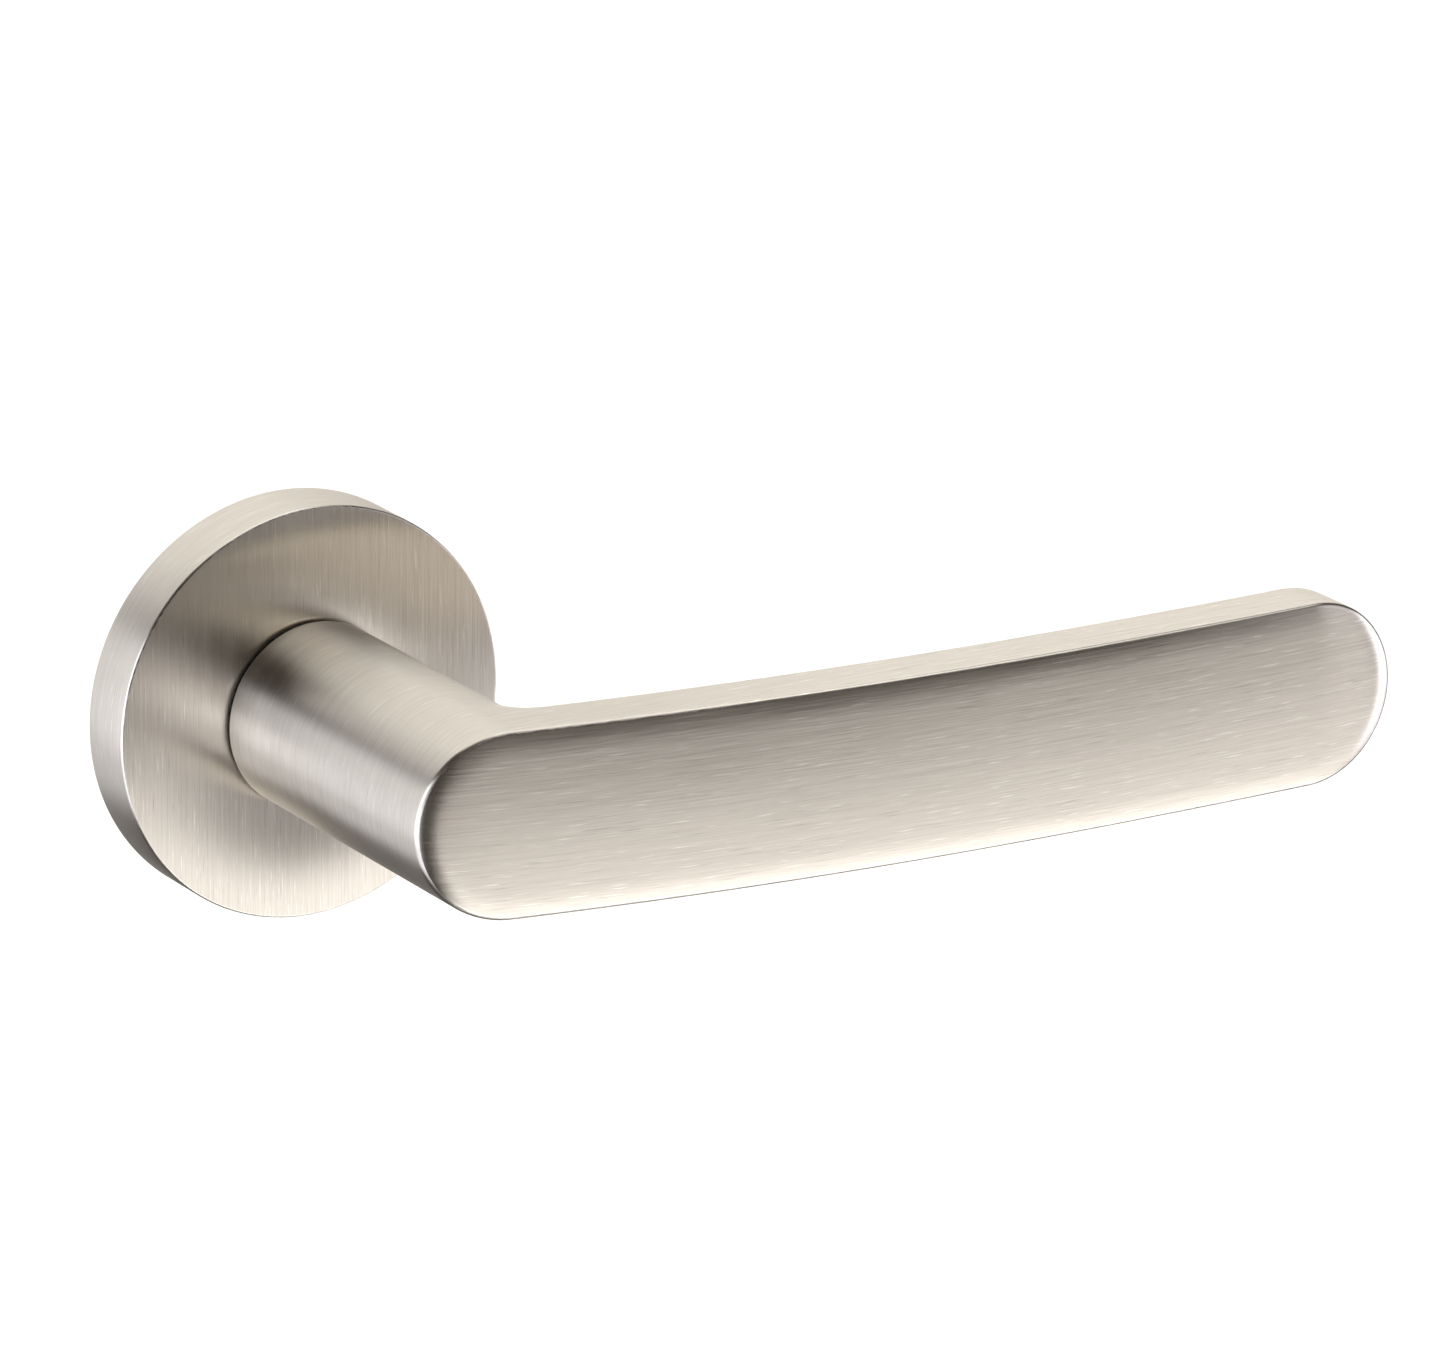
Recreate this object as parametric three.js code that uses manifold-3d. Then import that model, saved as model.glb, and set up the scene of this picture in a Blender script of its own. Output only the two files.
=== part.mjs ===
// Door lever handle on a round sprung rose, in millimetres.
// The origin is the centre of the rose's back face, on the spindle axis. +Y goes into the door,
// +X runs along the grip and +Z is up, so the handle stands out of the door along -Y.

import * as THREE from "three";
import { mergeVertices } from "three/addons/utils/BufferGeometryUtils.js";
import Module from "manifold-3d";

const wasm = await Module();
wasm.setup();

// ---- Driving dimensions -------------------------------------------------------------------

const ROSE = { radius: 25, depth: 8, wall: 1, front: 1.2, edge: 0.25, hole: 10.9 };

const LEVER = {
  neckRadius: 11.28, // also half the grip's height and the radius of both its round ends
  neckRear: -8.5, // stands half a millimetre in front of the rose
  tip: 115.7, // furthest X of the grip
  rootY: -54.3, // front edge of the grip where it crosses the spindle axis
  rise: 7.6, // how much further out the bow's crest stands
  crestX: 91,
  bowPower: 2.27,
  thickness: 7.2, // between the front and the back edge
  crown: 0.75, // the front face is higher along its middle
  fillet: 7, // between the neck and the back of the grip
  slopeX: 5.74, // where the fillet takes the slope of the grip's back
  edge: 0.5, // bevel around the front face and at the neck's rear
};

const JOURNAL = { radius: 8.5, flat: 7.4, rear: -0.6, flatStart: -6.2 };
const SOCKET = { width: 8.2, bottom: -40 };
const SPINDLE = { width: 8, front: -39.5, rear: 27, chamfer: 0.5 };
const GRUB = { y: -17, radius: 2.45, outer: -10.6, inner: -4.4, hexAcross: 2.5, hexDepth: 2.6 };

const BUSH = { bore: 8.64, radius: 10.7, front: -8.1, shoulder: -6.65, rear: -5.9, flange: 12.2 };
const BASE = { radius: 23.2, thickness: 1.5, collar: 11.2, collarBore: 10, collarFront: -3.85 };
const SLEEVE = { bore: 8.64, radius: 9.85, flange: 11, front: -4.35, rear: -0.4, flangeThick: 0.4 };
const DRIVER = { radius: 13.2, front: -5.3, rear: -4.5, flat: 7.52, armWidth: 4, armTip: 17.6 };
const TAB = { inner: 13.7, outer: 15.2, width: 2.6, rear: -2.1 };
const CAP = { inner: 12.6, outer: 22.4, front: -6.1, rear: -5.6 };
const CAP_SCREW = {
  circle: 20.5, radius: 1.2, head: 2.1, headFront: -6.65, rear: -0.3, hole: 1.4, boss: 2.3,
  recess: 1.2, recessWidth: 0.25,
};
const POST = {
  circle: 19, radius: 3.5, flange: 4.3, flangeFront: -2.5, rear: 6, bore: 1.65, boreEnd: -1.2,
};
const PIN = { radius: 1.4, circle: 17, front: -5.4, rear: -0.2, hole: 1.5 };
const SPRING = { coil: 12.35, wire: 1, front: -3.85, rear: -2.2, legReach: 15.2, fixedLeg: 340 };
const CLIP = { foot: 21, outer: 23.7, leaf: 0.45, width: 6, front: -4.6, base: -1.6 };

// Angles in the X-Z plane, in degrees from +X towards +Z. The lever turns towards smaller angles.
const TRAVEL = 45;
const ARM_AT_REST = 180 + TRAVEL / 2;
const STOP_OFFSET = 12.4; // from the arm's middle line to a stop pin's centre
const LEG_OFFSET = 7.4; // from the arm's or the anchor pin's middle line to the spring leg it holds
const PIN_ANGLES = {
  rest_stop: ARM_AT_REST + STOP_OFFSET,
  travel_stop: ARM_AT_REST - TRAVEL - STOP_OFFSET,
  spring_anchor: SPRING.fixedLeg - LEG_OFFSET,
};
const SPRING_WOUND = 360 + SPRING.fixedLeg - (ARM_AT_REST - LEG_OFFSET); // degrees of coil
const POST_ANGLES = { upper: 90, lower: 270 };
const CAP_SCREW_ANGLES = [60, 180, 300];
const CLIP_ANGLES = [0, 120, 240];

const CLEAR = 0.1; // between a fixed piece and its seat
const PAST = 1; // how far a cutting tool runs past what it cuts
const FACETS = { rim: 96, barrel: 64, post: 48, pin: 24 }; // of a full turn
const STEPS = { fillet: 6, grip: 22, gripEnd: 24, springLine: 90, springWire: 8 };
const FACE_ROWS = [1, 0.8, 0.55, 0.3, 0]; // of the grip's front face, as shares of the way out

// ---- Materials ----------------------------------------------------------------------------

const finish = (color, roughness, metalness) =>
  new THREE.MeshStandardMaterial({ color, roughness, metalness });

const MATERIALS = {
  satinNickel: finish(0xb9b2a8, 0.35, 1),
  plainSteel: finish(0x9a9a98, 0.4, 1),
  zincCasting: finish(0x8f9192, 0.55, 1),
  springSteel: finish(0x6f7174, 0.35, 1),
  blackNylon: finish(0x1c1c1d, 0.6, 0),
};

// ---- Solids -------------------------------------------------------------------------------

function signedVolume(position, index) {
  const corners = [new THREE.Vector3(), new THREE.Vector3(), new THREE.Vector3()];
  let total = 0;
  for (let i = 0; i < index.length; i += 3) {
    corners.forEach((corner, k) => corner.fromArray(position, 3 * index[i + k]));
    total += corners[0].dot(corners[1].cross(corners[2]));
  }
  return total / 6;
}

// A closed geometry as a solid, with its faces turned outwards and its thin slivers dropped.
function solid(geometry) {
  const bare = new THREE.BufferGeometry();
  bare.setAttribute("position", geometry.getAttribute("position"));
  bare.setIndex(geometry.getIndex());
  const merged = mergeVertices(bare, 1e-4);
  const position = merged.getAttribute("position").array;
  const triangles = [];
  const all = merged.getIndex().array;
  for (let i = 0; i < all.length; i += 3) {
    const [a, b, c] = [all[i], all[i + 1], all[i + 2]];
    if (a !== b && b !== c && c !== a) triangles.push(a, b, c);
  }
  const outward = signedVolume(position, triangles) > 0;
  const triVerts = Uint32Array.from(outward ? triangles : triangles.reverse());
  const vertProperties = Float32Array.from(position);
  return new wasm.Manifold(new wasm.Mesh({ numProp: 3, vertProperties, triVerts }));
}

function geometryOf(manifold) {
  const mesh = manifold.getMesh();
  const geometry = new THREE.BufferGeometry();
  geometry.setAttribute("position", new THREE.BufferAttribute(mesh.vertProperties, 3));
  geometry.setIndex(new THREE.BufferAttribute(mesh.triVerts, 1));
  geometry.computeVertexNormals();
  return geometry;
}

// A turned piece on the Y axis, from a closed outline of [radius, y] corners.
function turned(corners, facets = FACETS.barrel) {
  const outline = [...corners, corners[0]].map(([radius, y]) => new THREE.Vector2(radius, y));
  return solid(new THREE.LatheGeometry(outline, facets));
}

const ring = (inner, outer, front, rear, facets) =>
  turned([[inner, front], [outer, front], [outer, rear], [inner, rear]], facets);

function rod(radius, front, rear, facets = FACETS.pin) {
  const geometry = new THREE.CylinderGeometry(radius, radius, rear - front, facets);
  return solid(geometry.translate(0, (front + rear) / 2, 0));
}

function box(low, high) {
  const size = high.map((value, axis) => value - low[axis]);
  const geometry = new THREE.BoxGeometry(...size);
  return solid(geometry.translate(...low.map((value, axis) => value + size[axis] / 2)));
}

// Moves a solid to a radius and an angle around the spindle axis, its own +X pointing outwards.
const around = (shape, angle, radius = 0) => shape.translate([radius, 0, 0]).rotate([0, -angle, 0]);

const atAngles = (shape, angles, radius) => angles.map((angle) => around(shape, angle, radius));

const cut = (shape, ...tools) => tools.reduce((left, tool) => left.subtract(tool), shape);

const joined = (shape, ...others) => others.reduce((left, other) => left.add(other), shape);

// ---- Lever handle -------------------------------------------------------------------------

// The bow of the grip, seen from above: Y of the front edge at a place along X.
function bowFront(x) {
  const away = Math.abs(1 - x / LEVER.crestX) ** LEVER.bowPower;
  return LEVER.rootY - LEVER.rise * (1 - away);
}

const bowBack = (x) => bowFront(x) + LEVER.thickness;

// Back of the grip as [shift, y] steps. At each step the section across Y is a slot shape whose
// round end has moved out by shift. The first steps are the fillet that leaves the neck.
function backSteps() {
  const slope = Math.atan(bowBack(LEVER.slopeX) - bowBack(LEVER.slopeX + 1));
  const sweep = Math.PI / 2 - slope;
  const filletEnd = LEVER.fillet * (1 - Math.cos(sweep));
  const filletY = bowBack(filletEnd) + LEVER.fillet * Math.sin(sweep);
  const steps = [];
  for (let i = 0; i < STEPS.fillet; i += 1) {
    const turn = (sweep * i) / STEPS.fillet;
    steps.push([LEVER.fillet * (1 - Math.cos(turn)), filletY - LEVER.fillet * Math.sin(turn)]);
  }
  const last = LEVER.tip - LEVER.neckRadius;
  for (let i = 0; i <= STEPS.grip; i += 1) {
    const shift = filletEnd + ((last - filletEnd) * i) / STEPS.grip;
    steps.push([shift, bowBack(shift)]);
  }
  return steps;
}

// Places around the grip's slot-shaped outline, as its round end's centre and the way outwards.
function outlinePlaces(steps) {
  const places = [];
  const arc = (shift, from) => {
    for (let i = 0; i <= STEPS.gripEnd; i += 1) {
      const angle = from + (Math.PI * i) / STEPS.gripEnd;
      places.push({ shift, across: Math.cos(angle), up: Math.sin(angle) });
    }
  };
  const shifts = steps.map(([shift]) => shift);
  arc(0, Math.PI / 2);
  shifts.slice(1, -1).forEach((shift) => places.push({ shift, across: 0, up: -1 }));
  arc(shifts.at(-1), -Math.PI / 2);
  shifts.slice(1, -1).reverse().forEach((shift) => places.push({ shift, across: 0, up: 1 }));
  return places;
}

function leverShell() {
  const steps = backSteps();
  const radius = LEVER.neckRadius;
  const places = outlinePlaces(steps);
  const vertices = [];
  const triangles = [];
  const point = (place, reach, y) => {
    const x = place.shift + place.across * reach;
    vertices.push(x, y, place.up * reach);
    return vertices.length / 3 - 1;
  };
  const quad = (a, b, c, d) => triangles.push(a, b, c, a, c, d);
  const strip = (first, second) => {
    for (let i = 0; i + 1 < first.length; i += 1) {
      quad(first[i], second[i], second[i + 1], first[i + 1]);
    }
  };
  const closed = (row) => [...row, row[0]];

  // Front: the outline's edge, then rows that climb to the crowned middle line.
  const front = (place, share) => {
    const reach = (radius - LEVER.edge) * share;
    const y = bowFront(place.shift + place.across * reach) - LEVER.crown * (1 - share ** 2);
    return point(place, reach, y);
  };
  const frontRows = FACE_ROWS.map((share) => places.map((place) => front(place, share)));
  const edgeY = (place) => bowFront(place.shift + place.across * radius) + LEVER.edge;
  const edgeRow = places.map((place) => point(place, radius, edgeY(place)));
  const outerRows = [edgeRow, ...frontRows.slice(0, -1)];
  outerRows.forEach((row, i) => strip(closed(row), closed(frontRows[i])));

  // Wall: from the edge back to the neck on the left, and to the back of the grip elsewhere.
  const backY = new Map(steps.map(([shift, y]) => [shift, y]));
  const wallRow = places.map((place) => point(place, radius, backY.get(place.shift)));
  strip(closed(wallRow), closed(edgeRow));

  // Back of the grip, then the neck down to its end behind.
  const arc = (count, from) =>
    Array.from({ length: count }, (_, i) => from + (Math.PI * i) / STEPS.gripEnd)
      .map((angle) => ({ across: Math.cos(angle), up: Math.sin(angle) }));
  const halfTurn = arc(STEPS.gripEnd + 1, -Math.PI / 2);
  const backRows = steps.map(([shift, y]) =>
    halfTurn.map((place) => point({ shift, ...place }, radius, y)));
  backRows.slice(1).forEach((row, i) => strip(backRows[i], row));
  const neckPlaces = arc(2 * STEPS.gripEnd, Math.PI / 2).map((place) => ({ shift: 0, ...place }));
  const neckRow = (reach, y) => closed(neckPlaces.map((place) => point(place, reach, y)));
  const { edge, neckRear: rear } = LEVER;
  const neckEnds = [[0, rear], [radius - edge, rear], [radius, rear - edge], [radius, steps[0][1]]];
  const rows = neckEnds.map(([reach, y]) => neckRow(reach, y));
  rows.slice(1).forEach((row, i) => strip(rows[i], row));

  const geometry = new THREE.BufferGeometry();
  geometry.setAttribute("position", new THREE.Float32BufferAttribute(vertices, 3));
  geometry.setIndex(triangles);
  return solid(geometry);
}

function leverHandle() {
  const { radius, flat, rear, flatStart } = JOURNAL;
  const round = ring(0, radius, LEVER.neckRear - PAST, rear);
  const outside = radius + PAST;
  const above = box([-outside, flatStart, flat], [outside, rear + PAST, outside]);
  const below = box([-outside, flatStart, -outside], [outside, rear + PAST, -flat]);
  const journal = cut(round, above, below);
  const half = SOCKET.width / 2;
  const socket = box([-half, SOCKET.bottom, -half], [half, rear + PAST, half]);
  const screwHole = downwards(rod(GRUB.radius + CLEAR, 0, LEVER.neckRadius + PAST));
  return cut(joined(leverShell(), journal), socket, screwHole);
}

// Turns a piece on the +Y axis to point down, at the grub screw's place along the neck.
const downwards = (shape) => shape.rotate([-90, 0, 0]).translate([0, GRUB.y, 0]);

function grubScrew() {
  const body = rod(GRUB.radius, -GRUB.inner, -GRUB.outer);
  const hexRadius = GRUB.hexAcross / Math.sqrt(3);
  const hexSocket = rod(hexRadius, -GRUB.outer - GRUB.hexDepth, -GRUB.outer + PAST, 6);
  return downwards(cut(body, hexSocket));
}

function spindle() {
  const { width, front, rear, chamfer } = SPINDLE;
  const half = width / 2;
  const flat = half - chamfer;
  const corners = [[flat, -half], [half, -flat], [half, flat], [flat, half]];
  const mirrored = corners.map(([x, z]) => [-x, -z]);
  const outline = [...corners, ...mirrored].map(([x, z]) => new THREE.Vector2(x, z));
  const options = { depth: rear - front, bevelEnabled: false };
  const bar = new THREE.ExtrudeGeometry(new THREE.Shape(outline), options);
  return solid(bar.rotateX(-Math.PI / 2).translate(0, front, 0));
}

function driverPlate() {
  const { radius, front, rear, flat, armWidth, armTip } = DRIVER;
  const disc = ring(0, radius, front, rear);
  const arm = box([JOURNAL.radius, front, -armWidth / 2], [armTip, rear, armWidth / 2]);
  const tab = box([TAB.inner, front, -TAB.width / 2], [TAB.outer, TAB.rear, TAB.width / 2]);
  const roundBore = rod(BUSH.bore, front - PAST, rear + PAST, FACETS.barrel);
  const slab = box([-radius, front - PAST, -flat], [radius, rear + PAST, flat]);
  const plate = joined(disc, around(joined(arm, tab), ARM_AT_REST));
  return cut(plate, roundBore.intersect(slab));
}

// ---- Rose ---------------------------------------------------------------------------------

function roseCover() {
  const { radius, depth, wall, front, edge, hole } = ROSE;
  const corner = edge * (1 - Math.SQRT1_2); // the edge is a quarter circle of two facets
  return turned([
    [hole, -depth], [radius - edge, -depth], [radius - corner, corner - depth],
    [radius, edge - depth], [radius, 0], [radius - wall, 0], [radius - wall, front - depth],
    [hole, front - depth],
  ], FACETS.rim);
}

function neckBush() {
  const { bore, radius, front, shoulder, rear, flange } = BUSH;
  return turned([
    [bore, front], [radius, front], [radius, shoulder], [flange, shoulder], [flange, rear],
    [bore, rear],
  ]);
}

function bearingSleeve() {
  const { bore, radius, flange, front, rear, flangeThick } = SLEEVE;
  const step = front + flangeThick;
  return turned([
    [bore, front], [flange, front], [flange, step], [radius, step], [radius, rear], [bore, rear],
  ]);
}

function basePlate() {
  const { radius, thickness, collar, collarBore, collarFront } = BASE;
  const disc = ring(0, radius, -thickness, 0, FACETS.rim);
  const tube = ring(0, collar, collarFront, -thickness / 2);
  const bossFront = CAP.rear + CLEAR;
  const boss = rod(CAP_SCREW.boss, bossFront, -thickness / 2);
  const screwHole = rod(CAP_SCREW.hole, bossFront - PAST, PAST);
  const pinHole = rod(PIN.hole, -thickness - PAST, PAST);
  const postHole = rod(POST.radius + CLEAR, -thickness - PAST, PAST, FACETS.post);
  return cut(
    joined(disc, tube, ...atAngles(boss, CAP_SCREW_ANGLES, CAP_SCREW.circle)),
    rod(collarBore, collarFront - PAST, PAST, FACETS.barrel),
    ...atAngles(screwHole, CAP_SCREW_ANGLES, CAP_SCREW.circle),
    ...atAngles(pinHole, Object.values(PIN_ANGLES), PIN.circle),
    ...atAngles(postHole, Object.values(POST_ANGLES), POST.circle),
  );
}

// A threaded post for the bolt that comes through the door, shown with a smooth bore.
function boltPost(angle) {
  const { circle, radius, flange, flangeFront, rear, bore, boreEnd } = POST;
  const under = -BASE.thickness - CLEAR;
  const post = turned([
    [0, flangeFront], [flange, flangeFront], [flange, under], [radius, under], [radius, rear],
    [bore, rear], [bore, boreEnd], [0, boreEnd],
  ], FACETS.post);
  return around(post, angle, circle);
}

const cassettePin = (angle) => around(rod(PIN.radius, PIN.front, PIN.rear), angle, PIN.circle);

function cassetteCap() {
  const hole = rod(CAP_SCREW.hole, CAP.front - PAST, CAP.rear + PAST);
  const plate = ring(CAP.inner, CAP.outer, CAP.front, CAP.rear, FACETS.rim);
  return cut(plate, ...atAngles(hole, CAP_SCREW_ANGLES, CAP_SCREW.circle));
}

function capScrew(angle) {
  const { circle, radius, head, headFront, rear, recess, recessWidth } = CAP_SCREW;
  const under = CAP.front - CLEAR;
  const outline = [
    [0, headFront], [head, headFront], [head, under], [radius, under], [radius, rear], [0, rear],
  ];
  const screw = turned(outline, FACETS.pin);
  const floor = headFront + recessWidth;
  const bar = box([-recess, headFront - PAST, -recessWidth], [recess, floor, recessWidth]);
  return around(cut(screw, bar, bar.rotate([0, 90, 0])), angle, circle);
}

// A bent strip on the base plate whose upright leaf grips the cover from inside.
function coverClip(angle) {
  const { foot, outer, leaf, width, front, base } = CLIP;
  const upright = box([outer - leaf, front, -width / 2], [outer, base, width / 2]);
  const sole = box([foot, base - leaf, -width / 2], [outer, base, width / 2]);
  return around(joined(upright, sole), angle);
}

// The centre line of the return spring: a straight leg, the coil, and a second straight leg.
class SpringLine extends THREE.Curve {
  getPoint(along, target = new THREE.Vector3()) {
    const { coil, legReach, front, rear, fixedLeg } = SPRING;
    const leg = legReach - coil;
    const wound = SPRING_WOUND * (Math.PI / 180);
    const length = coil * wound;
    const place = along * (length + 2 * leg);
    const onCoil = THREE.MathUtils.clamp((place - leg) / length, 0, 1);
    const onLeg = Math.max(leg - place, place - leg - length, 0);
    const angle = fixedLeg * (Math.PI / 180) - onCoil * wound;
    const radius = coil + onLeg;
    const y = rear + (front - rear) * onCoil;
    return target.set(radius * Math.cos(angle), y, radius * Math.sin(angle));
  }
}

function returnSpring() {
  const section = new THREE.Shape();
  section.absarc(0, 0, SPRING.wire / 2, 0, 2 * Math.PI);
  return solid(new THREE.ExtrudeGeometry(section, {
    curveSegments: STEPS.springWire,
    steps: STEPS.springLine,
    bevelEnabled: false,
    extrudePath: new SpringLine(),
  }));
}

// ---- Assembly -----------------------------------------------------------------------------

function assembly(name, pieces) {
  const group = new THREE.Group();
  group.name = name;
  for (const [node, shape, material] of pieces) {
    const mesh = new THREE.Mesh(geometryOf(shape), material);
    mesh.name = node;
    group.add(mesh);
  }
  return group;
}

const M = MATERIALS;

const lever = assembly("lever", [
  ["lever_handle", leverHandle(), M.satinNickel],
  ["spindle", spindle(), M.plainSteel],
  ["spindle_grub_screw", grubScrew(), M.plainSteel],
  ["driver_plate", driverPlate(), M.plainSteel],
]);

const rose = assembly("rose", [
  ["rose_cover", roseCover(), M.satinNickel],
  ["neck_bush", neckBush(), M.blackNylon],
  ["base_plate", basePlate(), M.zincCasting],
  ["bearing_sleeve", bearingSleeve(), M.blackNylon],
  ["cassette_cap", cassetteCap(), M.plainSteel],
  ["return_spring", returnSpring(), M.springSteel],
  ...Object.entries(POST_ANGLES)
    .map(([end, angle]) => [`bolt_post_${end}`, boltPost(angle), M.plainSteel]),
  ...Object.entries(PIN_ANGLES)
    .map(([pin, angle]) => [`${pin}_pin`, cassettePin(angle), M.plainSteel]),
  ...CAP_SCREW_ANGLES.map((angle, i) => [`cap_screw_${i + 1}`, capScrew(angle), M.plainSteel]),
  ...CLIP_ANGLES.map((angle, i) => [`cover_clip_${i + 1}`, coverClip(angle), M.springSteel]),
]);

const handle = new THREE.Group();
handle.add(rose, lever);

export default handle;
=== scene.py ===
"""A satin nickel door lever handle on a round sprung rose, with everything the rose holds inside.

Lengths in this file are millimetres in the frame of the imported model, and meshes are written in metres.
The origin is the centre of the rose's back face on the spindle axis, -Y is out of the door, +X runs
along the grip and +Z is up. Every brushed piece has a grain map: its first coordinate counts
millimetres across the brushing, and its second counts them along it.
"""

import logging
import math
from collections.abc import Callable, Sequence
from dataclasses import dataclass
from enum import Enum

import bmesh
import bpy
import numpy as np
from mathutils import Matrix, Vector


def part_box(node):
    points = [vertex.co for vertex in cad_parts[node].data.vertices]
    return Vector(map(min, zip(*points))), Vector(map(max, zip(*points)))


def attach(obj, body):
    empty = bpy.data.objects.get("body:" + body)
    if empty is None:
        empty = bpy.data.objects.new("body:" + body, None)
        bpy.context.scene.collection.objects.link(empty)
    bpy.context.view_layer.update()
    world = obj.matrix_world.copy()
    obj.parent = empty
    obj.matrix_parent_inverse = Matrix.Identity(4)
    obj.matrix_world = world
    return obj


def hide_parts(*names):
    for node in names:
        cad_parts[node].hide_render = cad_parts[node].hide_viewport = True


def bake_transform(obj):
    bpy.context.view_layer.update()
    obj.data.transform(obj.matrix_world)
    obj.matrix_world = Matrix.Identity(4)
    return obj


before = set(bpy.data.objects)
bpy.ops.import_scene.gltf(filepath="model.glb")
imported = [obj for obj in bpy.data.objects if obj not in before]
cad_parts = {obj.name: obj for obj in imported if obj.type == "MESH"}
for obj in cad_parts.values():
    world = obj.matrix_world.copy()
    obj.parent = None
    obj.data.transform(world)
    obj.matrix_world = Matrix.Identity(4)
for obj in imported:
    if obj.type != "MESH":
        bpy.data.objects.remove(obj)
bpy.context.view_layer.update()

LOG = logging.getLogger("door_lever")
MM = 0.001
GRAIN_MAP = "grain"
WEAR = "edge_wear"
LATHE = "lathe_turned"
TURN = 2 * math.pi
FACETS = 128  # places around every round section
SMOOTH_BELOW = math.radians(32)

Profile = Callable[[np.ndarray], np.ndarray]
Colour = tuple[float, float, float]


class Body(Enum):
    """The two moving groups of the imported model."""

    ROSE = "rose"
    LEVER = "lever"


class Slot(Enum):
    """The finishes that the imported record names."""

    NICKEL = "satin_nickel"
    STEEL = "plain_steel"
    CASTING = "zinc_casting"
    SPRING = "spring_steel"
    NYLON = "black_nylon"


class Grain(Enum):
    """Which way a turned piece is brushed where it faces along its axis."""

    AROUND = "around the axis"
    UPRIGHT = "straight up and down"


# ---- Finishes ---------------------------------------------------------------------------------


class NodeGraph:
    """The nodes of a new material or world, added one call at a time."""

    def __init__(self, owner: bpy.types.Material | bpy.types.World) -> None:
        """Starts an empty graph.

        Args:
            owner: The new material or world.
        """
        owner.use_nodes = True
        self.owner = owner
        self.tree = owner.node_tree
        self.tree.nodes.clear()

    def add(self, kind: str, inputs: dict[str | int, object] | None = None,
            **settings: object) -> bpy.types.Node:
        """Adds one node.

        Args:
            kind: The node's type, without the leading "ShaderNode".
            inputs: Values or other nodes' sockets for its inputs, by name or number.
            **settings: Properties of the node itself.

        Returns:
            The new node.
        """
        node = self.tree.nodes.new("ShaderNode" + kind)
        for name, value in settings.items():
            setattr(node, name, value)
        for name, value in (inputs or {}).items():
            if isinstance(value, bpy.types.NodeSocket):
                self.tree.links.new(value, node.inputs[name])
            else:
                node.inputs[name].default_value = value
        return node

    def math(self, operation: str, first: object, second: object = 0.0) -> bpy.types.NodeSocket:
        """Adds a math node and returns its result."""
        return self.add("Math", {0: first, 1: second}, operation=operation).outputs[0]

    def remap(self, value: bpy.types.NodeSocket, low: float, high: float, start: float,
              end: float) -> bpy.types.NodeSocket:
        """Maps a value from one range to another, clamped.

        Args:
            value: The socket to read.
            low: Where the source range starts.
            high: Where it ends.
            start: The result at low.
            end: The result at high.

        Returns:
            The mapped socket.
        """
        inputs = {"Value": value, "From Min": low, "From Max": high, "To Min": start, "To Max": end}
        return self.add("MapRange", inputs).outputs["Result"]

    def blend(self, factor: object, first: object, second: object,
              mode: str = "MIX") -> bpy.types.NodeSocket:
        """Mixes two colours.

        Args:
            factor: How much of the second shows.
            first: A colour or a colour socket.
            second: A colour or a colour socket.
            mode: The mixing mode.

        Returns:
            The mixed colour's socket.
        """
        node = self.add("Mix", data_type="RGBA", blend_type=mode)
        for name, value in (("Factor_Float", factor), ("A_Color", first), ("B_Color", second)):
            socket = next(s for s in node.inputs if s.identifier == name)
            if isinstance(value, bpy.types.NodeSocket):
                self.tree.links.new(value, socket)
            else:
                socket.default_value = (*value, 1.0) if isinstance(value, tuple) else value
        return next(s for s in node.outputs if s.identifier == "Result_Color")

    def noise(self, where: bpy.types.NodeSocket, scale: float, detail: float, roughness: float = 0.5,
              seed: float = 0.0) -> bpy.types.NodeSocket:
        """Adds a noise texture.

        Args:
            where: The coordinates it reads.
            scale: Its scale.
            detail: How many finer layers it adds.
            roughness: How strong those layers are.
            seed: The fourth coordinate, which sets one pattern apart from another.

        Returns:
            The noise's value, about 0.5 on average.
        """
        inputs = {"Vector": where, "Scale": scale, "Detail": detail, "Roughness": roughness, "W": seed}
        return self.add("TexNoise", inputs, noise_dimensions="4D").outputs["Fac"]

    def finish(self, shader: bpy.types.NodeSocket) -> bpy.types.Material:
        """Joins the shader to the output and returns the material."""
        self.add("OutputMaterial", {"Surface": shader})
        return self.owner


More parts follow.
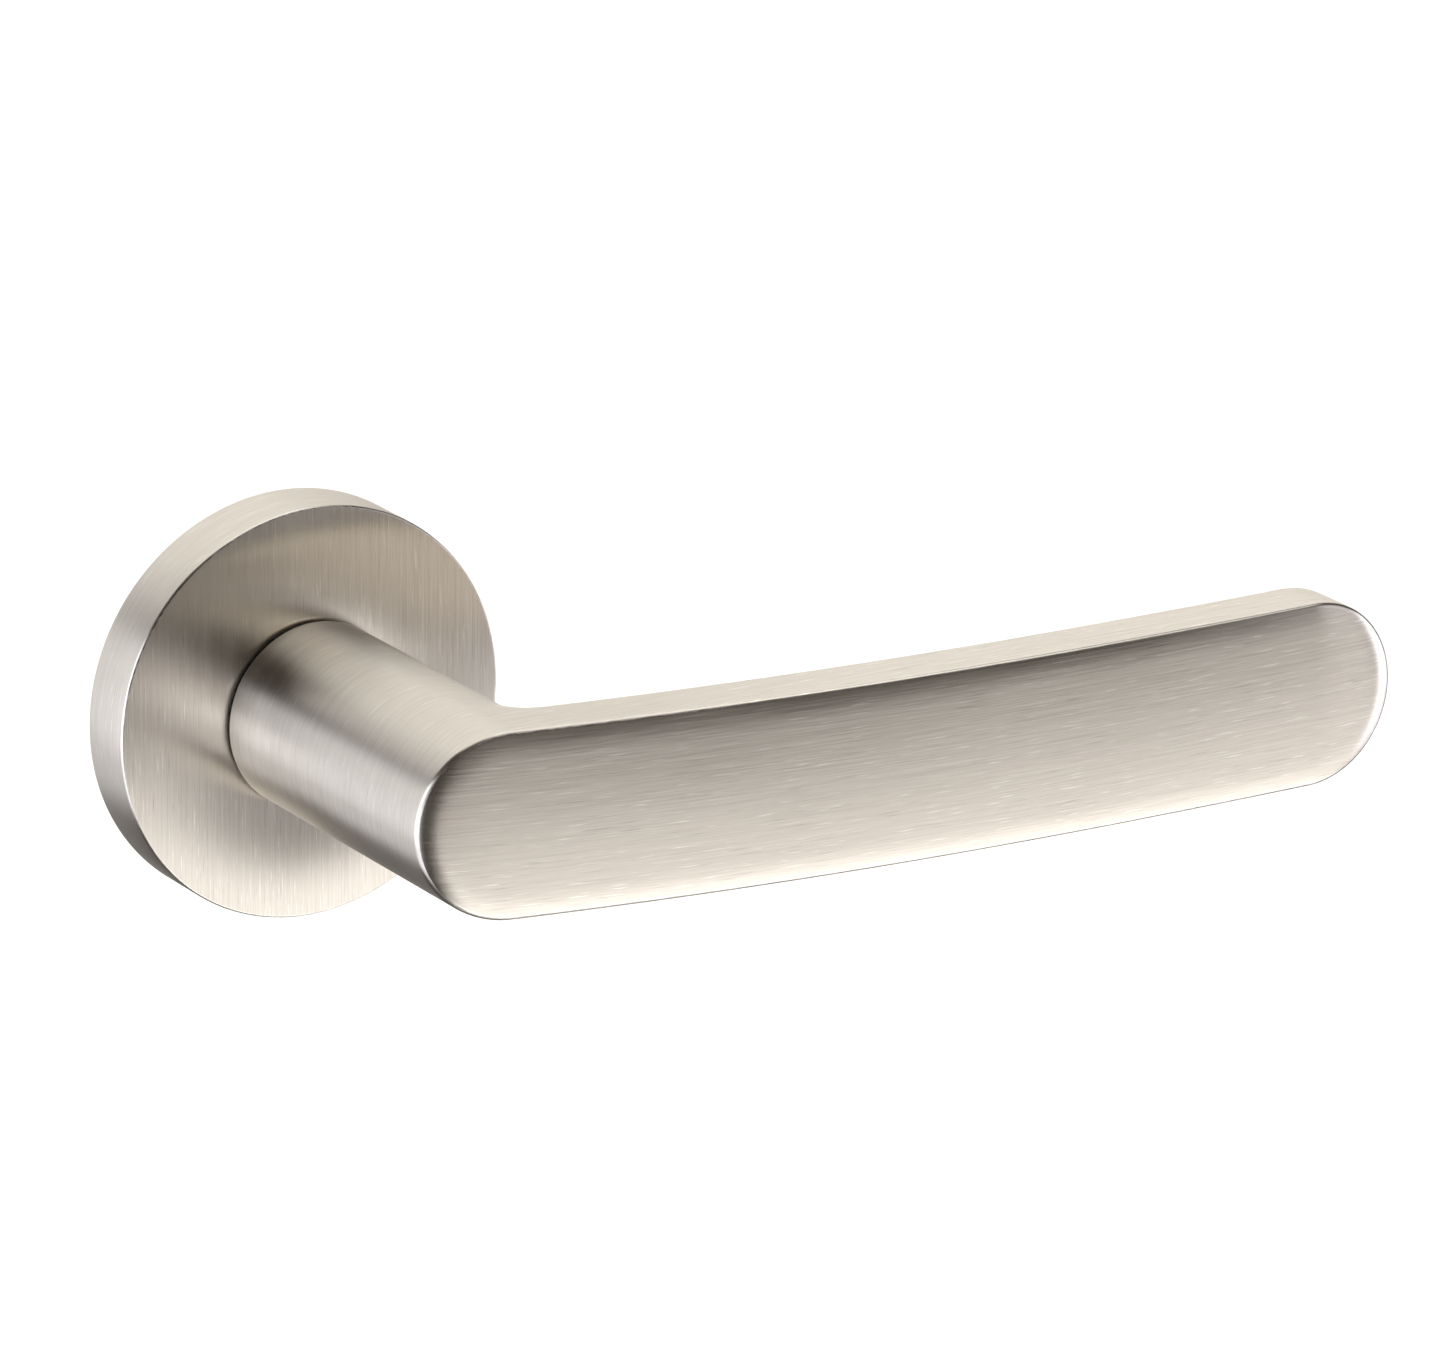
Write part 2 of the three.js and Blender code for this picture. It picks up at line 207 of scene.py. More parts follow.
@dataclass(frozen=True)
class BrushedMetal:
    """Metal with a straight satin grain that follows the piece's grain map."""

    name: str
    colour: Colour
    warm: Colour
    roughness: float
    lathe_roughness: float
    anisotropy: float
    lines_per_mm: float
    line_length: float
    relief: float
    score: Colour = (0.3, 0.28, 0.25)
    glint: Colour = (0.92, 0.9, 0.84)
    polish: Colour = (0.86, 0.84, 0.8)

    def material(self) -> bpy.types.Material:
        """Builds the finish.

        Returns:
            A material with fine and broad brush lines, short scratches, faint clouding and edges
            that hands have polished.
        """
        graph = NodeGraph(bpy.data.materials.new(self.name))
        grain = graph.add("UVMap", uv_map=GRAIN_MAP).outputs["UV"]

        def lines(across: float, length: float, detail: float, seed: float) -> bpy.types.NodeSocket:
            """Noise drawn out along the grain, with its pitch across and its length in millimetres."""
            stretched = graph.add("Mapping", {"Vector": grain, "Scale": (across, 1 / length, 1.0)})
            return graph.noise(stretched.outputs["Vector"], 1.0, detail, 0.65, seed)

        fine = lines(self.lines_per_mm, self.line_length, 2.0, 1.0)
        broad = lines(self.lines_per_mm / 4, self.line_length * 3, 2.0, 2.0)
        dark_scratch = lines(self.lines_per_mm * 0.8, self.line_length * 0.4, 1.0, 3.0)
        light_scratch = lines(self.lines_per_mm * 0.8, self.line_length * 0.3, 1.0, 5.0)
        cloud = graph.noise(graph.add("TexCoord").outputs["Object"], 55.0, 2.0, 0.5, 4.0)
        wear = graph.add("Attribute", attribute_name=WEAR).outputs["Fac"]
        lathe = graph.add("Attribute", attribute_name=LATHE).outputs["Fac"]

        tone = graph.math("ADD", graph.math("MULTIPLY", fine, 0.75), graph.math("MULTIPLY", broad, 0.25))
        shade = graph.blend(graph.remap(tone, 0.34, 0.66, 0.0, 1.0), self.colour, self.warm)
        scored = graph.blend(graph.remap(dark_scratch, 0.62, 0.74, 0.0, 0.4), shade, self.score)
        glinting = graph.blend(graph.remap(light_scratch, 0.62, 0.72, 0.0, 0.7), scored, self.glint)
        clouded = graph.blend(graph.remap(cloud, 0.35, 0.65, 0.0, 0.1), glinting, self.warm)
        polished = graph.blend(graph.math("MULTIPLY", wear, 0.5), clouded, self.polish)

        brushed = graph.remap(lathe, 0.0, 1.0, self.roughness, self.lathe_roughness)
        dull = graph.math("ADD", brushed, graph.remap(tone, 0.3, 0.7, -0.03, 0.03))
        rough = graph.math("SUBTRACT", dull, graph.math("MULTIPLY", wear, 0.06))
        bump = graph.add("Bump", {"Height": tone, "Strength": 1.0, "Distance": self.relief * MM})
        tangent = graph.add("Tangent", direction_type="UV_MAP", uv_map=GRAIN_MAP)
        shader = graph.add("BsdfPrincipled", {
            "Base Color": polished, "Metallic": 1.0, "Roughness": rough, "Normal": bump.outputs["Normal"],
            "Tangent": tangent.outputs["Tangent"], "Anisotropic": self.anisotropy,
        })
        return graph.finish(shader.outputs["BSDF"])


@dataclass(frozen=True)
class PlainMetal:
    """Metal that is cast, plated or drawn, with no grain of its own."""

    name: str
    colour: Colour
    stain: Colour
    roughness: float
    pitting: float
    relief: float

    def material(self) -> bpy.types.Material:
        """Builds the finish.

        Returns:
            A material with pitted skin, slow stains and brighter edges.
        """
        graph = NodeGraph(bpy.data.materials.new(self.name))
        place = graph.add("TexCoord").outputs["Object"]
        skin = graph.noise(place, self.pitting, 4.0, 0.6, 1.0)
        stain = graph.noise(place, 160.0, 3.0, 0.55, 2.0)
        wear = graph.add("Attribute", attribute_name=WEAR).outputs["Fac"]
        shade = graph.blend(graph.remap(stain, 0.35, 0.7, 0.0, 0.8), self.colour, self.stain)
        colour = graph.blend(graph.math("MULTIPLY", wear, 0.4), shade, (0.82, 0.82, 0.8))
        rough = graph.remap(skin, 0.3, 0.7, self.roughness - 0.06, self.roughness + 0.1)
        bump = graph.add("Bump", {"Height": skin, "Strength": 0.8, "Distance": self.relief * MM})
        shader = graph.add("BsdfPrincipled", {
            "Base Color": colour, "Metallic": 1.0, "Roughness": rough, "Normal": bump.outputs["Normal"],
        })
        return graph.finish(shader.outputs["BSDF"])


@dataclass(frozen=True)
class MouldedNylon:
    """Matt nylon with the fine sparkle of a moulded skin."""

    name: str
    colour: Colour
    bloom: Colour
    roughness: float

    def material(self) -> bpy.types.Material:
        """Builds the finish.

        Returns:
            A dark material with a faint bloom and a grainy skin.
        """
        graph = NodeGraph(bpy.data.materials.new(self.name))
        place = graph.add("TexCoord").outputs["Object"]
        skin = graph.noise(place, 2600.0, 2.0, 0.5, 1.0)
        bloom = graph.noise(place, 120.0, 3.0, 0.5, 2.0)
        colour = graph.blend(graph.remap(bloom, 0.4, 0.7, 0.0, 0.6), self.colour, self.bloom)
        rough = graph.remap(skin, 0.3, 0.7, self.roughness - 0.08, self.roughness + 0.08)
        bump = graph.add("Bump", {"Height": skin, "Strength": 0.5, "Distance": 0.01 * MM})
        shader = graph.add("BsdfPrincipled", {
            "Base Color": colour, "Roughness": rough, "Normal": bump.outputs["Normal"],
        })
        return graph.finish(shader.outputs["BSDF"])


@dataclass(frozen=True)
class MattSurface:
    """A studio surface: the floor's paper or a card's cloth."""

    name: str
    colour: Colour
    fibre: Colour
    roughness: float

    def material(self) -> bpy.types.Material:
        """Builds the finish.

        Returns:
            A matt material with a faint fibre.
        """
        graph = NodeGraph(bpy.data.materials.new(self.name))
        place = graph.add("TexCoord").outputs["Object"]
        fibre = graph.noise(place, 9.0, 4.0, 0.6, 1.0)
        colour = graph.blend(graph.remap(fibre, 0.3, 0.7, 0.0, 1.0), self.colour, self.fibre)
        shader = graph.add("BsdfPrincipled", {
            "Base Color": colour, "Roughness": self.roughness, "Specular IOR Level": 0.0,
        })
        return graph.finish(shader.outputs["BSDF"])


SATIN_NICKEL = BrushedMetal(
    name="satin_nickel", colour=(0.6, 0.56, 0.505), warm=(0.745, 0.7, 0.632), roughness=0.25,
    lathe_roughness=0.34, anisotropy=0.92, lines_per_mm=6.0, line_length=15.0, relief=0.004,
)
BRIGHT_STEEL = BrushedMetal(
    name="bright_steel", colour=(0.5, 0.5, 0.49), warm=(0.6, 0.6, 0.58), roughness=0.3,
    lathe_roughness=0.34, anisotropy=0.6, lines_per_mm=4.0, line_length=9.0, relief=0.004,
)
ZINC_CASTING = PlainMetal(
    name="zinc_casting", colour=(0.45, 0.455, 0.46), stain=(0.36, 0.365, 0.375), roughness=0.5,
    pitting=1500.0, relief=0.02,
)
SPRING_WIRE = PlainMetal(
    name="spring_wire", colour=(0.34, 0.345, 0.36), stain=(0.27, 0.26, 0.25), roughness=0.3,
    pitting=3000.0, relief=0.004,
)
BLACK_NYLON = MouldedNylon(
    name="black_nylon", colour=(0.016, 0.016, 0.017), bloom=(0.035, 0.035, 0.037), roughness=0.55,
)
FLOOR_PAPER = MattSurface(
    name="floor_paper", colour=(0.93, 0.93, 0.93), fibre=(0.95, 0.95, 0.95), roughness=0.9,
)


# ---- Meshes -----------------------------------------------------------------------------------


class MeshDraft:
    """The patches of one closed piece, which join where their points meet."""

    JOIN = 2e-6

    def __init__(self) -> None:
        """Starts with no patches."""
        self.points: list[np.ndarray] = []
        self.grain: list[np.ndarray] = []
        self.wear: list[np.ndarray] = []
        self.lathe: list[np.ndarray] = []
        self.faces: list[np.ndarray] = []
        self.count = 0

    def patch(self, points: np.ndarray, grain: np.ndarray, wear: np.ndarray | float = 0.0,
              lathe: np.ndarray | float = 0.0) -> None:
        """Adds a grid of quads.

        Args:
            points: Rows by columns by three, in millimetres.
            grain: Rows by columns by two, millimetres across and along the brushing.
            wear: How worn each point is, from 0 to 1.
            lathe: How far each point has the coarser finish of the lathe, from 0 to 1.
        """
        rows, columns = points.shape[:2]
        index = np.arange(rows * columns).reshape(rows, columns) + self.count
        quads = np.stack([index[:-1, :-1], index[1:, :-1], index[1:, 1:], index[:-1, 1:]], axis=-1)
        self.points.append(points.reshape(-1, 3))
        self.grain.append(grain.reshape(-1, 2))
        self.wear.append(np.broadcast_to(wear, (rows, columns)).reshape(-1))
        self.lathe.append(np.broadcast_to(lathe, (rows, columns)).reshape(-1))
        self.faces.append(quads.reshape(-1, 4))
        self.count += rows * columns

    def build(self, name: str) -> bpy.types.Object:
        """Joins the patches into one smooth mesh.

        Args:
            name: The object's name.

        Returns:
            The new object, with its grain map and its wear and lathe attributes.
        """
        mesh = bpy.data.meshes.new(name)
        points = np.concatenate(self.points) * MM
        faces = np.concatenate(self.faces)
        mesh.from_pydata(points.tolist(), [], faces.tolist())
        layer = mesh.uv_layers.new(name=GRAIN_MAP)
        corners = np.concatenate(self.grain)[faces.reshape(-1)]
        layer.data.foreach_set("uv", corners.astype(np.float32).ravel())
        for attribute, values in ((WEAR, self.wear), (LATHE, self.lathe)):
            layer = mesh.attributes.new(attribute, "FLOAT", "POINT")
            layer.data.foreach_set("value", np.concatenate(values).astype(np.float32))
        edit = bmesh.new()
        edit.from_mesh(mesh)
        bmesh.ops.remove_doubles(edit, verts=edit.verts, dist=self.JOIN)
        bmesh.ops.recalc_face_normals(edit, faces=edit.faces)
        edit.to_mesh(mesh)
        edit.free()
        return shown(mesh, name)


def shown(mesh: bpy.types.Mesh, name: str) -> bpy.types.Object:
    """Puts a mesh in the scene, smooth except at its sharp edges.

    Args:
        mesh: The mesh to show.
        name: The object's name.

    Returns:
        The new object.
    """
    mesh.shade_smooth()
    mesh.set_sharp_from_angle(angle=SMOOTH_BELOW)
    piece = bpy.data.objects.new(name, mesh)
    bpy.context.scene.collection.objects.link(piece)
    return piece


def circle(radius: float) -> Profile:
    """A round section."""
    return lambda angle: np.full_like(angle, radius)


def square(half: float, chamfer: float = 0.0) -> Profile:
    """A square section, with its corners cut off by a chamfer."""
    def reach(angle: np.ndarray) -> np.ndarray:
        """Distance from the axis to the side, at each angle."""
        across, up = np.abs(np.cos(angle)), np.abs(np.sin(angle))
        return np.minimum(half / np.maximum(across, up), (2 * half - chamfer) / (across + up))
    return reach


def two_flats(radius: float, flat: float) -> Profile:
    """A round section with a flat above and below."""
    return lambda angle: np.minimum(radius, flat / np.maximum(np.abs(np.sin(angle)), 1e-6))


def hexagon(half: float) -> Profile:
    """A six-sided section."""
    def reach(angle: np.ndarray) -> np.ndarray:
        """Distance from the axis to the side, at each angle."""
        sixth = TURN / 6
        return half / np.cos((angle + sixth / 2) % sixth - sixth / 2)
    return reach


def cross(arm: float, half: float) -> Profile:
    """A cross-shaped section, as long arms and half as wide as given."""
    def reach(angle: np.ndarray) -> np.ndarray:
        """Distance from the axis to the side, at each angle."""
        across = np.maximum(np.abs(np.cos(angle)), 1e-6)
        up = np.maximum(np.abs(np.sin(angle)), 1e-6)
        return np.maximum(np.minimum(arm / across, half / up), np.minimum(arm / up, half / across))
    return reach


@dataclass(frozen=True)
class Corner:
    """One corner of a turned outline: its radius, its place along the axis and its rounding."""

    radius: float
    y: float
    round: float = 0.0


def rounded(corners: Sequence[Corner], steps: int = 5) -> list[tuple[float, float, float]]:
    """Rounds the corners of an outline.

    Args:
        corners: The outline's corners, in order.
        steps: Points on each rounding, less one.

    Returns:
        The outline as radius, y and wear, which is 1 in the middle of each rounding.
    """
    outline: list[tuple[float, float, float]] = []
    for index, corner in enumerate(corners):
        here = Vector((corner.radius, corner.y))
        if corner.round == 0 or index in (0, len(corners) - 1):
            outline.append((here.x, here.y, 0.0))
            continue
        before, after = corners[index - 1], corners[index + 1]
        towards = (Vector((before.radius, before.y)) - here).normalized()
        away = (Vector((after.radius, after.y)) - here).normalized()
        half = towards.angle(away) / 2
        reach = corner.round / math.tan(half)
        centre = here + (towards + away).normalized() * (corner.round / math.sin(half))
        start = here + towards * reach - centre
        turn = start.angle_signed(here + away * reach - centre)
        for step in range(steps + 1):
            share = step / steps
            point = centre + Matrix.Rotation(-turn * share, 2) @ start
            outline.append((point.x, point.y, math.sin(math.pi * share)))
    return outline


def section_row(reach: Profile, y: float, facets: int = FACETS) -> np.ndarray:
    """One closed row of points around the spindle axis.

    Args:
        reach: The section's shape.
        y: Its place along the axis.
        facets: How many places it has.

    Returns:
        The points, with the first repeated at the end.
    """
    angle = np.linspace(0, TURN, facets + 1)
    radius = reach(angle)
    return np.stack([radius * np.cos(angle), np.full_like(angle, y), radius * np.sin(angle)], axis=-1)


def around_map(rows: np.ndarray, radius: float, start: float = 0.0) -> np.ndarray:
    """The grain map of a piece that is brushed around the spindle axis.

    Args:
        rows: Its rows of points.
        radius: The radius at which the map's lengths are true.
        start: The place across the grain of the first row.

    Returns:
        Rows by columns by two.
    """
    steps = np.linalg.norm(np.diff(rows, axis=0), axis=-1).mean(axis=1)
    across = start + np.concatenate([[0.0], np.cumsum(steps)])
    along = np.linspace(0, TURN * radius, rows.shape[1]) - radius * math.pi / 2
    return np.stack(np.meshgrid(across, along, indexing="ij"), axis=-1)


def stack(draft: MeshDraft, sections: Sequence[tuple[Profile, float, float]], facets: int = FACETS) -> None:
    """Adds the surface through a row of sections, brushed around the axis.

    Args:
        draft: The piece to add it to.
        sections: Each section's shape, its y and its wear.
        facets: How many places each has.
    """
    rows = np.stack([section_row(reach, y, facets) for reach, y, _ in sections])
    wear = np.array([[worn] for _, _, worn in sections])
    widest = float(np.abs(rows[..., 0]).max())
    draft.patch(rows, around_map(rows, widest, float(rows[0, 0, 1])), wear, 1.0)


def turned(name: str, corners: Sequence[Corner], grain: Grain = Grain.AROUND,
           facets: int = FACETS) -> bpy.types.Object:
    """Makes a turned piece on the spindle axis.

    Args:
        name: The object's name.
        corners: Its closed outline, or one that starts and ends on the axis.
        grain: How its flat faces are brushed.
        facets: How many places it has around.

    Returns:
        The new object.
    """
    draft = MeshDraft()
    outline = rounded(corners)
    if outline[0][0] > 0:
        outline.append(outline[0])
    runs: list[list[tuple[float, float, float]]] = [[outline[0]]]
    for before, after in zip(outline, outline[1:]):
        if grain is Grain.UPRIGHT and len(runs[-1]) > 1:
            facing = abs(after[1] - before[1]) < 0.3 * abs(after[0] - before[0])
            previous = runs[-1][-2]
            was_facing = abs(before[1] - previous[1]) < 0.3 * abs(before[0] - previous[0])
            if facing != was_facing:
                runs.append([before])
        runs[-1].append(after)
    for run in runs:
        rows = np.stack([section_row(circle(radius), y, facets) for radius, y, _ in run])
        wear = np.array([[worn] for _, _, worn in run])
        flat = abs(run[-1][1] - run[0][1]) < 0.3 * abs(run[-1][0] - run[0][0])
        if grain is Grain.UPRIGHT and flat:
            draft.patch(rows, rows[..., [0, 2]], wear)
        else:
            draft.patch(rows, around_map(rows, float(max(radius for radius, _, _ in run))), wear, 1.0)
    return draft.build(name)


def ring_of_points(radius: float, centre: tuple[float, float] = (0.0, 0.0), count: int = 96) -> np.ndarray:
    """Points of a circle in the X-Z plane."""
    angle = np.linspace(0, TURN, count, endpoint=False)
    return np.stack([centre[0] + radius * np.cos(angle), centre[1] + radius * np.sin(angle)], axis=-1)


def polar(radius: float, degrees: float) -> tuple[float, float]:
    """X and Z of a place around the spindle axis."""
    return radius * math.cos(math.radians(degrees)), radius * math.sin(math.radians(degrees))


def plate(loops: Sequence[np.ndarray], front: float, rear: float, edge: float) -> bpy.types.Mesh:
    """Cuts a flat plate with softened edges out of closed outlines.

    Args:
        loops: The outline and its holes, as X and Z.
        front: Y of the face away from the door.
        rear: Y of the face towards it.
        edge: The rounding of every edge.

    Returns:
        The plate's mesh, in place, with an upright grain map.
    """
    curve = bpy.data.curves.new("plate", "CURVE")
    curve.dimensions = "2D"
    curve.fill_mode = "BOTH"
    curve.extrude = (rear - front) / 2 - edge
    curve.bevel_depth = edge
    curve.bevel_resolution = 1
    curve.offset = -edge
    for loop in loops:
        spline = curve.splines.new("POLY")
        spline.points.add(len(loop) - 1)
        spline.points.foreach_set("co", np.pad(loop, ((0, 0), (0, 2))).ravel())
        spline.use_cyclic_u = True
    holder = bpy.data.objects.new("plate", curve)
    bpy.context.scene.collection.objects.link(holder)
    bpy.context.view_layer.update()
    mesh = bpy.data.meshes.new_from_object(holder.evaluated_get(bpy.context.evaluated_depsgraph_get()))
    bpy.data.objects.remove(holder)
    bpy.data.curves.remove(curve)
    upright = Matrix(((1, 0, 0, 0), (0, 0, 1, (front + rear) / 2), (0, 1, 0, 0), (0, 0, 0, 1)))
    mesh.transform(Matrix.Scale(MM, 4) @ upright)
    edit = bmesh.new()
    edit.from_mesh(mesh)
    bmesh.ops.remove_doubles(edit, verts=edit.verts, dist=MeshDraft.JOIN)
    bmesh.ops.recalc_face_normals(edit, faces=edit.faces)
    edit.to_mesh(mesh)
    edit.free()
    planar_map(mesh)
    return mesh


def planar_map(mesh: bpy.types.Mesh) -> None:
    """Gives a mesh an upright grain map.

    Args:
        mesh: The mesh, which loses any other map.
    """
    while mesh.uv_layers:
        mesh.uv_layers.remove(mesh.uv_layers[0])
    layer = mesh.uv_layers.new(name=GRAIN_MAP)
    place = np.zeros(len(mesh.vertices) * 3, np.float32)
    mesh.vertices.foreach_get("co", place)
    corner = np.zeros(len(mesh.loops), np.int32)
    mesh.loops.foreach_get("vertex_index", corner)
    place = place.reshape(-1, 3)[corner] / MM
    layer.data.foreach_set("uv", np.stack([place[:, 0] + 0.3 * place[:, 1], place[:, 2]], axis=-1).ravel())


def joined(name: str, parts: Sequence[bpy.types.Object]) -> bpy.types.Object:
    """Makes one object of several.

    Args:
        name: The object's name.
        parts: The objects, which are used up.

    Returns:
        The joined object.
    """
    edit = bmesh.new()
    for part in parts:
        edit.from_mesh(part.data)
        bpy.data.objects.remove(part)
    mesh = bpy.data.meshes.new(name)
    edit.to_mesh(mesh)
    edit.free()
    return shown(mesh, name)


def placed(piece: bpy.types.Object, degrees: float, radius: float = 0.0) -> bpy.types.Object:
    """Moves a piece's mesh to a radius and an angle around the spindle axis.

    Args:
        piece: A piece made on the axis, with +X outwards.
        degrees: The angle from +X towards +Z.
        radius: How far out it goes.

    Returns:
        The same piece.
    """
    turn = Matrix.Rotation(-math.radians(degrees), 4, "Y")
    piece.data.transform(turn @ Matrix.Translation((radius * MM, 0, 0)))
    return piece


def dress(piece: bpy.types.Object, node: str, body: Body, material: bpy.types.Material) -> None:
    """Gives a piece its finish and its place in the model.

    Args:
        piece: The finished piece.
        node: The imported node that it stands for.
        body: The group that it moves with.
        material: What it is made of.
    """
    piece.data.materials.clear()
    piece.data.materials.append(material)
    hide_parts(node)
    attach(piece, body.value)
    LOG.info("%s stands for %s, with %d faces", piece.name, node, len(piece.data.polygons))


@dataclass
class Palette:
    """Every finish of the handle, made once."""

    nickel: bpy.types.Material
    steel: bpy.types.Material
    casting: bpy.types.Material
    wire: bpy.types.Material
    nylon: bpy.types.Material


# ---- Lever ------------------------------------------------------------------------------------


@dataclass
class LeverHandle:
    """The neck, the bowed grip and the journal, one casting brushed all over."""

    neck_radius: float
    tip: float
    neck_rear: float = -8.5
    root_y: float = -54.3
    rise: float = 7.6
    crest_x: float = 91.0
    bow_power: float = 2.27
    thickness: float = 7.2
    crown: float = 0.5
    roll: float = 0.25
    roll_width: float = 3.5
    fillet: float = 7.0
    slope_share: float = 0.82  # how far through the fillet the grip's slope is taken
    face_crowding: float = 1.6  # more than 1 puts more of the face's rows near its edge
    worn_from: float = 0.985  # share of the face's reach past which its edge is worn
    mouth_edge: float = 0.35
    sink_depth: float = 0.7
    sink_flare: float = 1.2
    front_edge: float = 0.5
    back_edge: float = 0.5
    journal_radius: float = 8.5
    journal_flat: float = 7.4
    journal_step: float = -6.2
    journal_rear: float = -0.6
    socket_half: float = 4.1
    socket_bottom: float = -40.0
    screw_y: float = -17.0
    screw_radius: float = 2.55
    lathe_end: float = 6.0
    lathe_fade: float = 36.0
    face_rows: int = 30
    grip_steps: int = 112
    fillet_steps: int = 14

    def bow(self, x: np.ndarray) -> np.ndarray:
        """Y of the grip's front edge at places along X."""
        return self.root_y - self.rise * (1 - np.abs(1 - x / self.crest_x) ** self.bow_power)

    def back_steps(self) -> np.ndarray:
        """Walks along the back of the grip.

        Returns:
            Rows of shift, y and how far the back edge is rounded there, from 0 on the neck to 1.
        """
        middle = self.slope_share * self.fillet + np.array([0.0, 1.0])
        slope = math.atan(-np.diff(self.bow(middle))[0])
        sweep = math.pi / 2 - slope
        end = self.fillet * (1 - math.cos(sweep))
        start_y = float(self.bow(np.array(end))) + self.thickness + self.fillet * math.sin(sweep)
        turn = np.linspace(0, sweep, self.fillet_steps, endpoint=False)
        curved = np.stack([self.fillet * (1 - np.cos(turn)), start_y - self.fillet * np.sin(turn),
                           np.sin(turn) ** 2], axis=-1)
        shift = np.linspace(end, self.tip - self.neck_radius, self.grip_steps)
        straight = np.stack([shift, self.bow(shift) + self.thickness, np.ones_like(shift)], axis=-1)
        return np.concatenate([curved, straight])

    def outline(self, shifts: np.ndarray) -> np.ndarray:
        """Walks around the grip's outline.

        Args:
            shifts: Places of the back's steps, from the neck to the tip.

        Returns:
            Rows of shift, across and up, closed, where across and up point straight outwards.
        """
        half = np.linspace(0, math.pi, FACETS // 2 + 1)
        left, right = half + math.pi / 2, half - math.pi / 2
        between = shifts[1:-1]
        level = np.zeros_like(between)
        parts = [
            np.stack([np.zeros_like(left), np.cos(left), np.sin(left)], axis=-1),
            np.stack([between, level, level - 1], axis=-1),
            np.stack([np.full_like(right, shifts[-1]), np.cos(right), np.sin(right)], axis=-1),
            np.stack([between[::-1], level, level + 1], axis=-1),
        ]
        places = np.concatenate(parts)
        return np.concatenate([places, places[:1]])

    @property
    def edge_tilt(self) -> float:
        """How far the face leans outwards where its rounded edge starts."""
        slope = 2 * self.crown / (self.neck_radius - self.front_edge) + 3 * self.roll / self.roll_width
        return math.atan(slope)

    def front(self, draft: MeshDraft, places: np.ndarray) -> None:
        """Adds the crowned face and the rounded edge around it.

        Args:
            draft: The lever so far.
            places: The grip's outline.
        """
        shift, across, up = (places[None, :, k] for k in range(3))
        tilt = self.edge_tilt
        face_reach = self.neck_radius - self.front_edge * (1 - math.sin(tilt))
        share = 1 - np.linspace(1, 0, self.face_rows)[:, None] ** self.face_crowding
        reach = face_reach * share
        rolled = np.clip(1 - (face_reach - reach) / self.roll_width, 0, 1)
        height = self.crown * (1 - share ** 2) + self.roll * (1 - rolled ** 3)
        x = shift + across * reach
        rows = np.stack([x, self.bow(x) - height, up * reach], axis=-1)
        draft.patch(rows, rows[..., [2, 0]], np.where(share > self.worn_from, 0.6, 0.0))

        turn = np.linspace(tilt, math.pi / 2, 7)[:, None]
        reach = self.neck_radius - self.front_edge * (1 - np.sin(turn))
        sunk = self.front_edge * (math.cos(tilt) - np.cos(turn))
        x = shift + across * reach
        rows = np.stack([x, self.bow(x) + sunk, up * reach], axis=-1)
        wear = np.sin((turn - tilt) / (math.pi / 2 - tilt) * math.pi)
        draft.patch(rows, self.wall_map(rows), 0.1 + 0.4 * wear, self.lathe_share(rows))

    def lathe_share(self, rows: np.ndarray) -> np.ndarray:
        """How much of the neck's coarser finish reaches each point, fading along the grip."""
        share = np.clip((rows[..., 0] - self.lathe_end) / self.lathe_fade, 0, 1)
        return 1 - share ** 2 * (3 - 2 * share)

    def wall_map(self, rows: np.ndarray) -> np.ndarray:
        """The grain map of a band around the grip, brushed along its length.

        Args:
            rows: The band's rows of points.

        Returns:
            Rows by columns by two.
        """
        steps = np.linalg.norm(np.diff(rows[-1][:, [0, 2]], axis=0), axis=-1)
        along = np.concatenate([[0.0], np.cumsum(steps)])
        return np.stack([rows[..., 1], np.broadcast_to(along, rows.shape[:2])], axis=-1)

    def wall(self, draft: MeshDraft, places: np.ndarray, steps: np.ndarray) -> None:
        """Adds the side of the grip, from the front edge to the back edge.

        Args:
            draft: The lever so far.
            places: The grip's outline.
            steps: The back's steps.
        """
        radius = self.neck_radius
        x = places[:, 0] + places[:, 1] * radius
        start = self.bow(x) + self.front_edge * math.cos(self.edge_tilt)
        step = np.searchsorted(steps[:, 0], places[:, 0] - 1e-9)
        end = steps[step, 1] - self.back_edge * steps[step, 2]
        share = np.linspace(0, 1, 8)[:, None]
        y = start + (end - start) * share
        x, z = (np.broadcast_to(level, y.shape) for level in (x, places[:, 2] * radius))
        rows = np.stack([x, y, z], axis=-1)
        draft.patch(rows, self.wall_map(rows), 0.0, self.lathe_share(rows))

